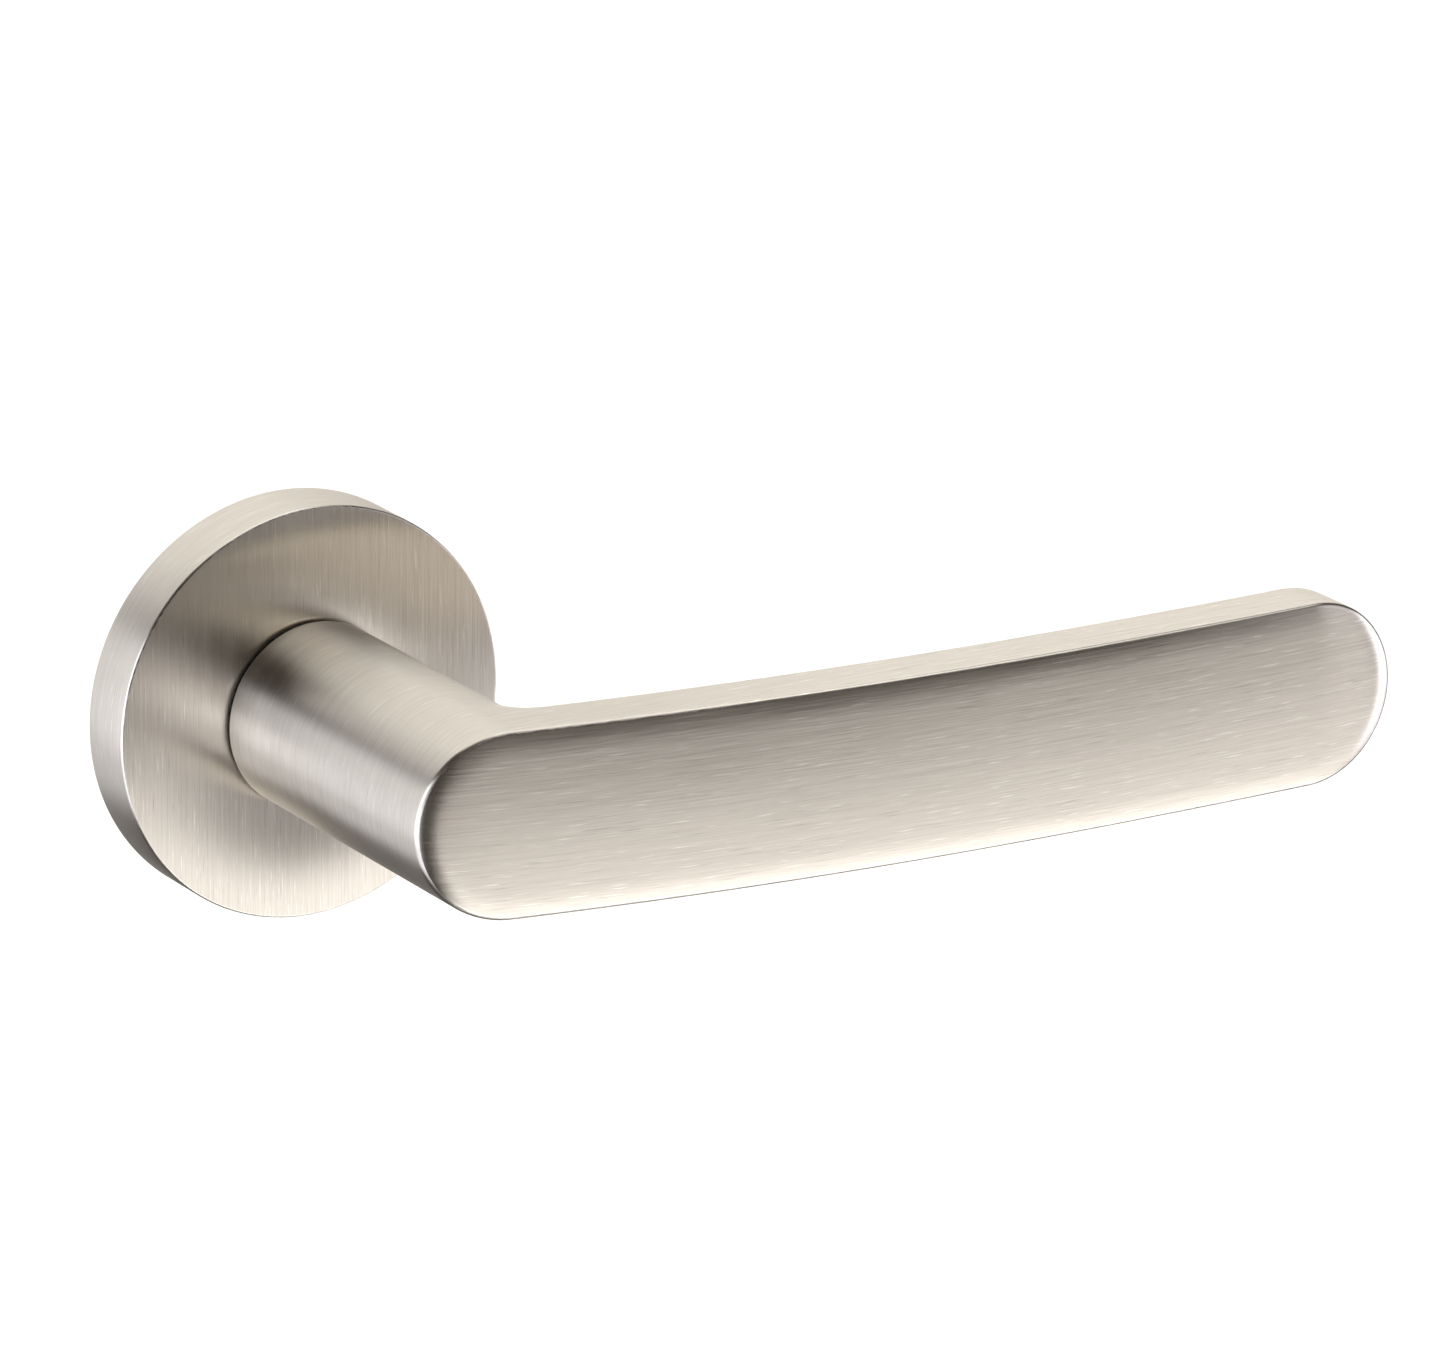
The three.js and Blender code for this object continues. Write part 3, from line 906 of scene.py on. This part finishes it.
    def back(self, draft: MeshDraft, steps: np.ndarray) -> None:
        """Adds the fillet and the back of the grip.

        Args:
            draft: The lever so far.
            steps: The back's steps.
        """
        radius = self.neck_radius
        angle = np.linspace(-math.pi / 2, math.pi / 2, FACETS // 2 + 1)[None, :]
        shift, y, rounding = (steps[:, k][:, None] for k in range(3))
        x, z = shift + radius * np.cos(angle), radius * np.sin(angle) + 0 * shift
        past = np.maximum(x - steps[-1, 0], 0)
        over = np.clip(np.hypot(past, z) - (radius - self.back_edge), 0, self.back_edge)
        sunk = self.back_edge - np.sqrt(self.back_edge ** 2 - over ** 2)
        rows = np.stack([x, y - rounding * sunk, z], axis=-1)
        neck_rows = self.fillet_steps // 2
        wear = 0.5 * np.sin(np.pi * np.clip(over / self.back_edge, 0, 1)) * rounding
        first, rest = slice(None, neck_rows + 1), slice(neck_rows, None)
        turn = np.broadcast_to((angle - math.pi / 2) * radius, rows.shape[:2])
        around = np.stack([rows[..., 1], turn], axis=-1)
        draft.patch(rows[first], around[first], wear[first], self.lathe_share(rows[first]))
        draft.patch(rows[rest], rows[rest][..., [2, 0]], wear[rest], self.lathe_share(rows[rest]))

    def neck(self, draft: MeshDraft, start: float) -> None:
        """Adds the neck, the journal behind it and the square socket inside.

        Args:
            draft: The lever so far.
            start: Y where the fillet leaves the neck.
        """
        radius, rear = self.neck_radius, self.neck_rear
        outline = rounded([
            Corner(radius, start), Corner(radius, rear, self.mouth_edge), Corner(self.journal_radius, rear),
        ])
        long_rows = [(radius, y, 0.0) for y in np.linspace(start, outline[1][1], 12, endpoint=False)]
        stack(draft, [(circle(r), y, worn) for r, y, worn in [*long_rows, *outline[1:]]])
        journal = two_flats(self.journal_radius, self.journal_flat)
        socket = square(self.socket_half)
        stack(draft, [
            (circle(self.journal_radius), rear, 0.0), (circle(self.journal_radius), self.journal_step, 0.0),
            (journal, self.journal_step, 0.0), (journal, self.journal_rear, 0.3),
            (socket, self.journal_rear, 0.3), (socket, self.socket_bottom, 0.0),
            (circle(0.0), self.socket_bottom, 0.0),
        ])

    def drill(self, lever: bpy.types.Object) -> None:
        """Cuts the grub screw's countersunk hole in the neck's underside.

        Args:
            lever: The lever's object.
        """
        start, outside = self.socket_half - 1, self.neck_radius
        clear = outside + self.sink_flare - self.sink_depth
        drill = turned("drill", [
            Corner(0, start), Corner(self.screw_radius, start),
            Corner(self.screw_radius, outside - self.sink_depth),
            Corner(self.screw_radius + self.sink_flare, clear), Corner(0, clear),
        ], facets=48)
        drill.data.transform(grub_place(self.screw_y))
        cut = lever.modifiers.new("screw_hole", "BOOLEAN")
        cut.object = drill
        cut.solver = "EXACT"
        bpy.context.view_layer.update()
        shaped = lever.evaluated_get(bpy.context.evaluated_depsgraph_get())
        drilled = bpy.data.meshes.new_from_object(shaped)
        lever.modifiers.clear()
        lever.data = drilled
        lever.data.set_sharp_from_angle(angle=SMOOTH_BELOW)
        bpy.data.objects.remove(drill)

    def build(self, palette: Palette) -> None:
        """Makes and dresses the lever.

        Args:
            palette: The handle's finishes.
        """
        draft = MeshDraft()
        steps = self.back_steps()
        places = self.outline(steps[:, 0])
        self.front(draft, places)
        self.wall(draft, places, steps)
        self.back(draft, steps)
        self.neck(draft, float(steps[0, 1]))
        lever = draft.build("brushed_lever")
        self.drill(lever)
        dress(lever, "lever_handle", Body.LEVER, palette.nickel)


def grub_place(y: float) -> Matrix:
    """Turns a piece on the spindle axis to point down at a place along the neck."""
    return Matrix.Translation((0, y * MM, 0)) @ Matrix.Rotation(-math.pi / 2, 4, "X")


@dataclass
class LeverInsides:
    """What turns with the lever: the spindle, its grub screw and the driver plate."""

    spindle_half: float = 4.0
    spindle_chamfer: float = 0.5
    spindle_front: float = -39.5
    spindle_rear: float = 27.0
    screw_y: float = -17.0
    screw_radius: float = 2.45
    screw_inner: float = 4.4
    screw_outer: float = 10.6
    hex_half: float = 1.25
    hex_depth: float = 2.6
    plate_radius: float = 13.2
    plate_front: float = -5.3
    plate_rear: float = -4.5
    bore_radius: float = 8.64
    bore_flat: float = 7.52
    arm_tip: float = 17.6
    arm_width: float = 4.0
    arm_degrees: float = 202.5
    tab_inner: float = 13.7
    tab_outer: float = 15.2
    tab_width: float = 2.6
    tab_rear: float = -2.1

    def spindle(self, palette: Palette) -> None:
        """Makes the square bar with its ends chamfered.

        Args:
            palette: The handle's finishes.
        """
        draft = MeshDraft()
        side, end = self.spindle_half, self.spindle_half - self.spindle_chamfer
        shape, tip = square(side, self.spindle_chamfer), square(end, self.spindle_chamfer)
        first, last = self.spindle_front + self.spindle_chamfer, self.spindle_rear - self.spindle_chamfer
        rows = np.linspace(first, last, 10)
        stack(draft, [
            (circle(0.0), self.spindle_front, 0.0), (tip, self.spindle_front, 0.6),
            *((shape, float(y), 0.2) for y in rows),
            (tip, self.spindle_rear, 0.6), (circle(0.0), self.spindle_rear, 0.0),
        ])
        dress(draft.build("square_spindle"), "spindle", Body.LEVER, palette.steel)

    def grub_screw(self, palette: Palette) -> None:
        """Makes the screw with its hexagon socket and its cup point.

        Args:
            palette: The handle's finishes.
        """
        draft = MeshDraft()
        body, socket = circle(self.screw_radius), hexagon(self.hex_half)
        floor = self.screw_outer - self.hex_depth
        stack(draft, [
            (circle(0.0), self.screw_inner + 0.5, 0.0), (circle(1.1), self.screw_inner, 0.5),
            (circle(1.4), self.screw_inner, 0.5), (body, self.screw_inner + 0.9, 0.0),
            (body, self.screw_outer - 0.3, 0.2), (circle(self.screw_radius - 0.3), self.screw_outer, 0.6),
            (socket, self.screw_outer, 0.6), (socket, floor, 0.0), (circle(0.0), floor - 0.4, 0.0),
        ])
        screw = draft.build("grub_screw")
        screw.data.transform(grub_place(self.screw_y))
        dress(screw, "spindle_grub_screw", Body.LEVER, palette.steel)

    def driver_plate(self, palette: Palette) -> None:
        """Makes the pressed plate with its arm and its bent tab.

        Args:
            palette: The handle's finishes.
        """
        half = self.arm_width / 2
        start = math.asin(half / self.plate_radius)
        angle = np.linspace(start, TURN - start, 120)
        rim = np.stack([self.plate_radius * np.cos(angle), self.plate_radius * np.sin(angle)], axis=-1)
        arm = np.array([[self.arm_tip, -half], [self.arm_tip, half]])
        turn = np.linspace(0, TURN, 96, endpoint=False) + math.radians(self.arm_degrees)
        reach = two_flats(self.bore_radius, self.bore_flat)(turn)
        bore = np.stack([reach * np.cos(turn), reach * np.sin(turn)], axis=-1)
        spin = math.radians(self.arm_degrees)
        rotation = np.array([[math.cos(spin), math.sin(spin)], [-math.sin(spin), math.cos(spin)]])
        outline = np.concatenate([rim, arm]) @ rotation
        disc = shown(plate([outline, bore], self.plate_front, self.plate_rear, 0.12), "disc")
        low, high = self.tab_inner, self.tab_outer
        side = self.tab_width / 2
        corners = np.array([[low, -side], [high, -side], [high, side], [low, side]])
        tab = shown(plate([corners @ rotation], self.plate_front + 0.2, self.tab_rear, 0.12), "tab")
        piece = joined("pressed_driver", [disc, tab])
        dress(piece, "driver_plate", Body.LEVER, palette.steel)

    def build(self, palette: Palette) -> None:
        """Makes all three pieces."""
        self.spindle(palette)
        self.grub_screw(palette)
        self.driver_plate(palette)


# ---- Rose -------------------------------------------------------------------------------------


@dataclass
class RoseCover:
    """The round cap that shows around the neck, and the nylon ring in its hole."""

    radius: float
    depth: float
    wall: float = 1.0
    face: float = 1.2
    edge: float = 0.3
    hole: float = 10.9
    bush_bore: float = 8.64
    bush_radius: float = 10.7
    bush_front: float = -8.1
    bush_shoulder: float = -6.65
    bush_rear: float = -5.9
    bush_flange: float = 12.2

    def cover(self, palette: Palette) -> None:
        """Makes the cap, brushed upright on its face and around on its rim.

        Args:
            palette: The handle's finishes.
        """
        inside = self.face - self.depth
        piece = turned("brushed_rose", [
            Corner(self.hole, inside), Corner(self.hole, -self.depth, 0.12),
            Corner(self.radius, -self.depth, self.edge), Corner(self.radius, 0, 0.2),
            Corner(self.radius - self.wall, 0, 0.1), Corner(self.radius - self.wall, inside, 0.4),
        ], Grain.UPRIGHT, 2 * FACETS)
        dress(piece, "rose_cover", Body.ROSE, palette.nickel)

    def bush(self, palette: Palette) -> None:
        """Makes the nylon ring that guides the journal; its black is partly the nylon's own colour and
        partly painted shade, showing as the dark shadow line in the gap at the neck's foot.

        Args:
            palette: The handle's finishes.
        """
        piece = turned("neck_ring", [
            Corner(self.bush_bore, self.bush_rear), Corner(self.bush_bore, self.bush_front, 0.15),
            Corner(self.bush_radius, self.bush_front, 0.15), Corner(self.bush_radius, self.bush_shoulder),
            Corner(self.bush_flange, self.bush_shoulder, 0.15),
            Corner(self.bush_flange, self.bush_rear, 0.15),
        ])
        # the black nylon here is partly painted shade: it stands in for the shadow in the gap at the neck's
        # foot
        dress(piece, "neck_bush", Body.ROSE, palette.nylon)

    def build(self, palette: Palette) -> None:
        """Makes both pieces."""
        self.cover(palette)
        self.bush(palette)


@dataclass
class RoseBase:
    """The casting behind the cover, with what is fixed to it."""

    radius: float = 23.2
    thickness: float = 1.5
    collar: float = 11.2
    collar_bore: float = 10.0
    collar_front: float = -3.85
    boss_radius: float = 2.3
    boss_front: float = -5.5
    screw_circle: float = 20.5
    screw_hole: float = 1.4
    screw_shank: float = 1.2
    screw_head: float = 2.1
    screw_front: float = -6.65
    screw_rear: float = -0.3
    screw_degrees: tuple[float, ...] = (60.0, 180.0, 300.0)
    pin_circle: float = 17.0
    pin_radius: float = 1.4
    pin_hole: float = 1.5
    pin_front: float = -5.4
    pin_rear: float = -0.2
    post_circle: float = 19.0
    post_radius: float = 3.5
    post_flange: float = 4.3
    post_front: float = -2.5
    post_rear: float = 6.0
    post_bore: float = 1.65
    post_bore_end: float = -1.2
    cap_inner: float = 12.6
    cap_outer: float = 22.4
    cap_front: float = -6.1
    cap_rear: float = -5.6
    clip_foot: float = 21.0
    clip_outer: float = 23.7
    clip_leaf: float = 0.45
    clip_width: float = 6.0
    clip_front: float = -4.6
    clip_base: float = -1.6
    clip_degrees: tuple[float, ...] = (0.0, 120.0, 240.0)

    @property
    def pins(self) -> dict[str, float]:
        """The three pins' nodes and their angles."""
        return {"rest_stop_pin": 214.9, "travel_stop_pin": 145.1, "spring_anchor_pin": 332.6}

    @property
    def screw_holes(self) -> list[np.ndarray]:
        """The outlines of the three screws' holes."""
        return [ring_of_points(self.screw_hole, polar(self.screw_circle, a), 32) for a in self.screw_degrees]

    @property
    def posts(self) -> dict[str, float]:
        """The two posts' nodes and their angles."""
        return {"bolt_post_upper": 90.0, "bolt_post_lower": 270.0}

    def plate(self, palette: Palette) -> None:
        """Makes the base plate with its collar and its bosses.

        Args:
            palette: The handle's finishes.
        """
        loops = [ring_of_points(self.radius, count=192), ring_of_points(self.collar_bore)]
        post_hole = self.post_radius + 0.1
        loops += self.screw_holes
        loops += [ring_of_points(self.pin_hole, polar(self.pin_circle, a), 32) for a in self.pins.values()]
        loops += [ring_of_points(post_hole, polar(self.post_circle, a), 64) for a in self.posts.values()]
        parts = [shown(plate(loops, -self.thickness, 0, 0.2), "disc")]
        root = -self.thickness + 0.2
        parts.append(turned("collar", [
            Corner(self.collar_bore, root), Corner(self.collar_bore, self.collar_front, 0.2),
            Corner(self.collar, self.collar_front, 0.2), Corner(self.collar, root),
        ]))
        for degrees in self.screw_degrees:
            boss = turned("boss", [
                Corner(self.screw_hole, root), Corner(self.screw_hole, self.boss_front, 0.1),
                Corner(self.boss_radius, self.boss_front, 0.2), Corner(self.boss_radius, root),
            ], facets=48)
            parts.append(placed(boss, degrees, self.screw_circle))
        dress(joined("cast_base", parts), "base_plate", Body.ROSE, palette.casting)

    def sleeve(self, palette: Palette) -> None:
        """Makes the flanged sleeve that the journal turns in.

        Args:
            palette: The handle's finishes.
        """
        bore, barrel, flange = 8.64, 9.85, 11.0
        front, step, rear = -4.35, -3.95, -0.4
        piece = turned("flanged_sleeve", [
            Corner(bore, rear), Corner(bore, front, 0.1), Corner(flange, front, 0.1),
            Corner(flange, step, 0.1), Corner(barrel, step), Corner(barrel, rear, 0.15),
        ])
        dress(piece, "bearing_sleeve", Body.ROSE, palette.nylon)

    def bolt_posts(self, palette: Palette) -> None:
        """Makes the two threaded posts that reach into the door.

        Args:
            palette: The handle's finishes.
        """
        under = -self.thickness - 0.1
        for node, degrees in self.posts.items():
            post = turned(node + "_turned", [
                Corner(0, self.post_front), Corner(self.post_flange, self.post_front, 0.3),
                Corner(self.post_flange, under), Corner(self.post_radius, under),
                Corner(self.post_radius, self.post_rear, 0.5), Corner(self.post_bore + 0.5, self.post_rear),
                Corner(self.post_bore, self.post_rear - 0.5), Corner(self.post_bore, self.post_bore_end),
                Corner(0, self.post_bore_end),
            ], facets=64)
            dress(placed(post, degrees, self.post_circle), node, Body.ROSE, palette.steel)

    def stop_pins(self, palette: Palette) -> None:
        """Makes the two stops and the spring's anchor.

        Args:
            palette: The handle's finishes.
        """
        for node, degrees in self.pins.items():
            pin = turned(node + "_turned", [
                Corner(0, self.pin_front), Corner(self.pin_radius, self.pin_front, 0.3),
                Corner(self.pin_radius, self.pin_rear, 0.2), Corner(0, self.pin_rear),
            ], facets=48)
            dress(placed(pin, degrees, self.pin_circle), node, Body.ROSE, palette.steel)

    def cap(self, palette: Palette) -> None:
        """Makes the thin ring that closes the spring's room.

        Args:
            palette: The handle's finishes.
        """
        loops = [ring_of_points(self.cap_outer, count=144), ring_of_points(self.cap_inner)]
        loops += self.screw_holes
        piece = shown(plate(loops, self.cap_front, self.cap_rear, 0.1), "pressed_cap")
        dress(piece, "cassette_cap", Body.ROSE, palette.steel)

    def cap_screws(self, palette: Palette) -> None:
        """Makes the three cross-recess screws.

        Args:
            palette: The handle's finishes.
        """
        under, front = self.cap_front - 0.1, self.screw_front
        recess, head, shank = cross(1.2, 0.25), self.screw_head, self.screw_shank
        for number, degrees in enumerate(self.screw_degrees, 1):
            draft = MeshDraft()
            stack(draft, [
                (circle(0.0), front + 0.25, 0.0), (recess, front + 0.25, 0.0), (recess, front, 0.6),
                (circle(head - 0.35), front, 0.2), (circle(head - 0.08), front + 0.12, 0.6),
                (circle(head), front + 0.3, 0.4), (circle(head), under, 0.0),
                (circle(shank), under, 0.0), (circle(shank), self.screw_rear - 0.3, 0.0),
                (circle(shank - 0.3), self.screw_rear, 0.3), (circle(0.0), self.screw_rear, 0.0),
            ], 96)
            screw = placed(draft.build(f"pan_screw_{number}"), degrees, self.screw_circle)
            dress(screw, f"cap_screw_{number}", Body.ROSE, palette.steel)

    def clips(self, palette: Palette) -> None:
        """Makes the three bent strips that grip the cover.

        Args:
            palette: The handle's finishes.
        """
        leaf, bulge = self.clip_leaf, 0.12
        inner, outer = self.clip_outer - leaf, self.clip_outer
        bend, middle = 0.5, (self.clip_front + self.clip_base) / 2
        for number, degrees in enumerate(self.clip_degrees, 1):
            outside = [
                (self.clip_foot, self.clip_base), (outer - bend, self.clip_base),
                (outer - bend * 0.3, self.clip_base - bend * 0.3), (outer, self.clip_base - bend),
                (outer + bulge, middle), (outer - bulge, self.clip_front),
            ]
            inside = [
                (inner - bulge, self.clip_front), (inner + bulge, middle),
                (inner, self.clip_base - leaf - 0.2), (inner - 0.2, self.clip_base - leaf),
                (self.clip_foot, self.clip_base - leaf),
            ]
            strip = plate([np.array(outside + inside)], -self.clip_width / 2, self.clip_width / 2, 0.08)
            side = Matrix(((1, 0, 0, 0), (0, 0, 1, 0), (0, 1, 0, 0), (0, 0, 0, 1)))
            strip.transform(side)
            strip.flip_normals()
            clip = placed(shown(strip, f"bent_clip_{number}"), degrees)
            dress(clip, f"cover_clip_{number}", Body.ROSE, palette.wire)

    def build(self, palette: Palette) -> None:
        """Makes every piece of the base."""
        self.plate(palette)
        self.sleeve(palette)
        self.bolt_posts(palette)
        self.stop_pins(palette)
        self.cap(palette)
        self.cap_screws(palette)
        self.clips(palette)


@dataclass
class ReturnSpring:
    """The torsion spring, whose front leg the lever winds and whose rear leg the anchor pin holds."""

    coil: float = 12.35
    wire: float = 1.0
    front: float = -3.85
    rear: float = -2.2
    leg_reach: float = 15.2
    fixed_degrees: float = 340.0
    moving_degrees: float = 195.1
    bend: float = 1.0
    sides: int = 16

    def centre_line(self) -> np.ndarray:
        """Walks along the wire.

        Returns:
            Points from the fixed leg's tip to the moving leg's.
        """
        wound = math.radians(360 + self.fixed_degrees - self.moving_degrees)
        skip = self.bend / self.coil
        share = np.linspace(skip / wound, 1 - skip / wound, 150)
        angle = math.radians(self.fixed_degrees) - share * wound
        y = self.rear + (self.front - self.rear) * share
        coil = np.stack([self.coil * np.cos(angle), y, self.coil * np.sin(angle)], axis=-1)

        def leg(degrees: float, y: float, inner: np.ndarray) -> np.ndarray:
            """A straight leg and the bend that leads to the coil, from its tip inwards."""
            x, z = polar(1.0, degrees)
            tip, corner = (np.array([x * reach, y, z * reach]) for reach in (self.leg_reach, self.coil))
            near = corner + (tip - corner) * self.bend / (self.leg_reach - self.coil)
            share = np.linspace(0, 1, 7)[:-1, None]
            curve = (1 - share) ** 2 * near + 2 * share * (1 - share) * corner + share ** 2 * inner
            return np.concatenate([[tip], curve])

        start = leg(self.fixed_degrees, self.rear, coil[0])
        end = leg(self.moving_degrees, self.front, coil[-1])[::-1]
        return np.concatenate([start, coil, end])

    def build(self, palette: Palette) -> None:
        """Makes the spring between the rose and the lever.

        Args:
            palette: The handle's finishes.
        """
        line = self.centre_line()
        ahead = np.gradient(line, axis=0)
        ahead /= np.linalg.norm(ahead, axis=1)[:, None]
        side = np.cross(ahead, [0.0, 1.0, 0.0])
        side /= np.linalg.norm(side, axis=1)[:, None]
        over = np.cross(side, ahead)
        angle = np.linspace(0, TURN, self.sides + 1)[None, :, None]
        radius = self.wire / 2
        tube = line[:, None] + radius * (np.cos(angle) * side[:, None] + np.sin(angle) * over[:, None])
        caps = [np.broadcast_to(line[end], tube[end].shape) for end in (0, -1)]
        rows = np.concatenate([caps[0][None], tube, caps[1][None]])
        strides = np.linalg.norm(np.diff(rows.mean(axis=1), axis=0), axis=1)
        along = np.concatenate([[0.0], np.cumsum(strides)])
        around = np.linspace(0, TURN * radius, self.sides + 1)
        grain = np.stack(np.meshgrid(along, around, indexing="ij")[::-1], axis=-1)
        draft = MeshDraft()
        draft.patch(rows, grain)
        spring = draft.build("wound_spring")
        spring.data.materials.append(palette.wire)
        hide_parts("return_spring")
        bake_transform(spring)
        LOG.info("%s stands for return_spring and twists with the lever", spring.name)


# ---- Studio -----------------------------------------------------------------------------------


@dataclass(frozen=True)
class Softbox:
    """One soft panel of the room, seen from the handle: where it is, how large, how bright.

    Azimuth 0 is straight out of the door and 90 is past the grip's tip, in degrees like the rest.
    """

    azimuth: float
    width: float
    elevation: float
    height: float
    softness: float
    light: Colour

    def add_to(self, graph: NodeGraph, azimuth: bpy.types.NodeSocket,
               elevation: bpy.types.NodeSocket, so_far: object) -> bpy.types.NodeSocket:
        """Adds the panel's light to the room's.

        Args:
            graph: The room's nodes.
            azimuth: The azimuth being looked up.
            elevation: The elevation being looked up.
            so_far: The light of the panels before this one.

        Returns:
            The light with this panel.
        """
        offset = graph.math("SUBTRACT", azimuth, self.azimuth)
        beside = graph.add("Math", {0: offset, 1: 180.0, 2: -180.0}, operation="WRAP").outputs[0]
        above = graph.math("SUBTRACT", elevation, self.elevation)
        shares = []
        for distance, size in ((beside, self.width), (above, self.height)):
            near, far = (size - self.softness) / 2, (size + self.softness) / 2
            inputs = {"Value": graph.math("ABSOLUTE", distance), "From Min": near, "From Max": far,
                      "To Min": 1.0, "To Max": 0.0}
            shares.append(graph.add("MapRange", inputs, interpolation_type="SMOOTHSTEP").outputs["Result"])
        return graph.blend(graph.math("MULTIPLY", *shares), so_far, self.light, "ADD")


@dataclass
class Studio:
    """The floor, the light and the camera.

    The camera's azimuth is how far it turns from facing the door squarely towards the grip's tip, and
    its elevation is how far it looks down.
    """

    camera_place: Vector
    camera_azimuth: float
    camera_elevation: float
    camera_roll: float
    lens: float
    panels: Sequence[Softbox]
    dim: Colour
    fill_watts: float
    floor_drop: float = 0.42
    floor_size: float = 14.0

    def floor(self) -> None:
        """Lays the pale floor."""
        half = self.floor_size / 2
        mesh = bpy.data.meshes.new("floor")
        corners = [(-half, -half, 0), (half, -half, 0), (half, half, 0), (-half, half, 0)]
        mesh.from_pydata(corners, [], [(0, 1, 2, 3)])
        mesh.materials.append(FLOOR_PAPER.material())
        floor = bpy.data.objects.new("floor", mesh)
        floor.location = (0, 0, -self.floor_drop)
        bpy.context.scene.collection.objects.link(floor)
        floor.visible_glossy = False

    def room(self) -> None:
        """Surrounds the handle with soft panels, which light it and are what the metal reflects."""
        world = bpy.data.worlds.new("room")
        bpy.context.scene.world = world
        graph = NodeGraph(world)
        place = graph.add("TexCoord").outputs["Generated"]
        side, depth, height = graph.add("SeparateXYZ", {"Vector": place}).outputs
        turn = graph.math("ARCTAN2", side, graph.math("MULTIPLY", depth, -1.0))
        azimuth = graph.math("DEGREES", turn)
        elevation = graph.math("DEGREES", graph.math("ARCSINE", height))
        light: object = self.dim
        for panel in self.panels:
            light = panel.add_to(graph, azimuth, elevation, light)
        background = graph.add("Background", {"Color": light})
        graph.add("OutputWorld", {"Surface": background.outputs["Background"]})

    def fill(self) -> None:
        """Hangs a large light that keeps the floor white, without a reflection in the metal."""
        light = bpy.data.lights.new("floor_fill", "AREA")
        light.shape = "SQUARE"
        light.size = self.floor_size / 2
        light.energy = self.fill_watts
        holder = bpy.data.objects.new("floor_fill", light)
        bpy.context.scene.collection.objects.link(holder)
        holder.location = (0, 0, self.floor_size / 2)
        holder.visible_camera = False
        holder.visible_glossy = False

    def camera(self) -> None:
        """Sets up the long lens that looks at the handle from the left and a little above."""
        data = bpy.data.cameras.new("camera")
        data.lens = self.lens
        data.sensor_width = 36.0
        data.sensor_fit = "HORIZONTAL"
        data.clip_end = 60.0
        a, e, r = (math.radians(v) for v in (self.camera_azimuth, self.camera_elevation, self.camera_roll))
        ahead = Vector((math.sin(a) * math.cos(e), math.cos(a) * math.cos(e), -math.sin(e)))
        right = Vector((math.cos(a), -math.sin(a), 0))
        up = right.cross(ahead)
        rolled_right = right * math.cos(r) + up * math.sin(r)
        rolled_up = up * math.cos(r) - right * math.sin(r)
        axes = Matrix((rolled_right, rolled_up, -ahead)).transposed()
        camera = bpy.data.objects.new("camera", data)
        camera.matrix_world = Matrix.Translation(self.camera_place) @ axes.to_4x4()
        bpy.context.scene.collection.objects.link(camera)
        bpy.context.scene.camera = camera

    def build(self) -> None:
        """Makes the whole studio."""
        self.floor()
        self.room()
        self.fill()
        self.camera()
        bpy.context.scene.view_settings.view_transform = "Standard"
        LOG.info("the studio is ready")


PANELS = (
    Softbox(-90, 56, 12, 26, 10, (2.5, 2.55, 2.72)),
    Softbox(-90, 58, -12, 22, 10, (2.75, 2.82, 3.05)),
    Softbox(-90, 62, -34, 22, 10, (1.2, 1.23, 1.33)),
    Softbox(-44, 34, -24, 40, 12, (1.9, 1.96, 2.14)),
    Softbox(-148, 44, 0, 70, 10, (0.72, 0.72, 0.74)),
    Softbox(172, 44, 10, 44, 10, (0.85, 0.85, 0.82)),
    Softbox(168, 50, -24, 30, 10, (0.5, 0.5, 0.5)),
    Softbox(135, 30, 0, 60, 10, (1.05, 1.02, 0.96)),
    Softbox(170, 112, 45, 34, 10, (1.2, 1.19, 1.15)),
    Softbox(0, 360, 78, 30, 10, (1.15, 1.12, 1.04)),
    Softbox(30, 80, 54, 18, 10, (1.9, 1.87, 1.8)),
    Softbox(66, 18, -10, 40, 6, (1.95, 1.95, 2.18)),
    Softbox(38, 24, -14, 14, 8, (0.4, 0.39, 0.38)),
    Softbox(49, 24, 5, 30, 10, (0.75, 0.74, 0.77)),
    Softbox(14, 26, -16, 10, 8, (0.35, 0.34, 0.33)),
    Softbox(30, 74, -31, 20, 8, (1.5, 1.48, 1.46)),
    Softbox(30, 84, -51, 20, 10, (2.3, 2.28, 2.26)),
)


# ---- Assembly ---------------------------------------------------------------------------------


def main() -> None:
    """Builds the studio and every piece."""
    logging.basicConfig(level=logging.INFO, format="%(name)s: %(message)s")
    Studio(
        camera_place=Vector((-0.48965, -0.88545, 0.33785)), camera_azimuth=31.89, camera_elevation=18.36,
        camera_roll=0.5, lens=226.7, panels=PANELS, dim=(0.06, 0.05, 0.045), fill_watts=350.0,
    ).build()
    palette = Palette(
        nickel=SATIN_NICKEL.material(), steel=BRIGHT_STEEL.material(), casting=ZINC_CASTING.material(),
        wire=SPRING_WIRE.material(), nylon=BLACK_NYLON.material(),
    )
    lever_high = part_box("lever_handle")[1]
    LeverHandle(neck_radius=lever_high.z / MM, tip=lever_high.x / MM).build(palette)
    LeverInsides().build(palette)
    cover_low, cover_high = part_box("rose_cover")
    RoseCover(radius=cover_high.x / MM, depth=-cover_low.y / MM).build(palette)
    RoseBase().build(palette)
    ReturnSpring().build(palette)


if __name__ == "__main__":
    main()
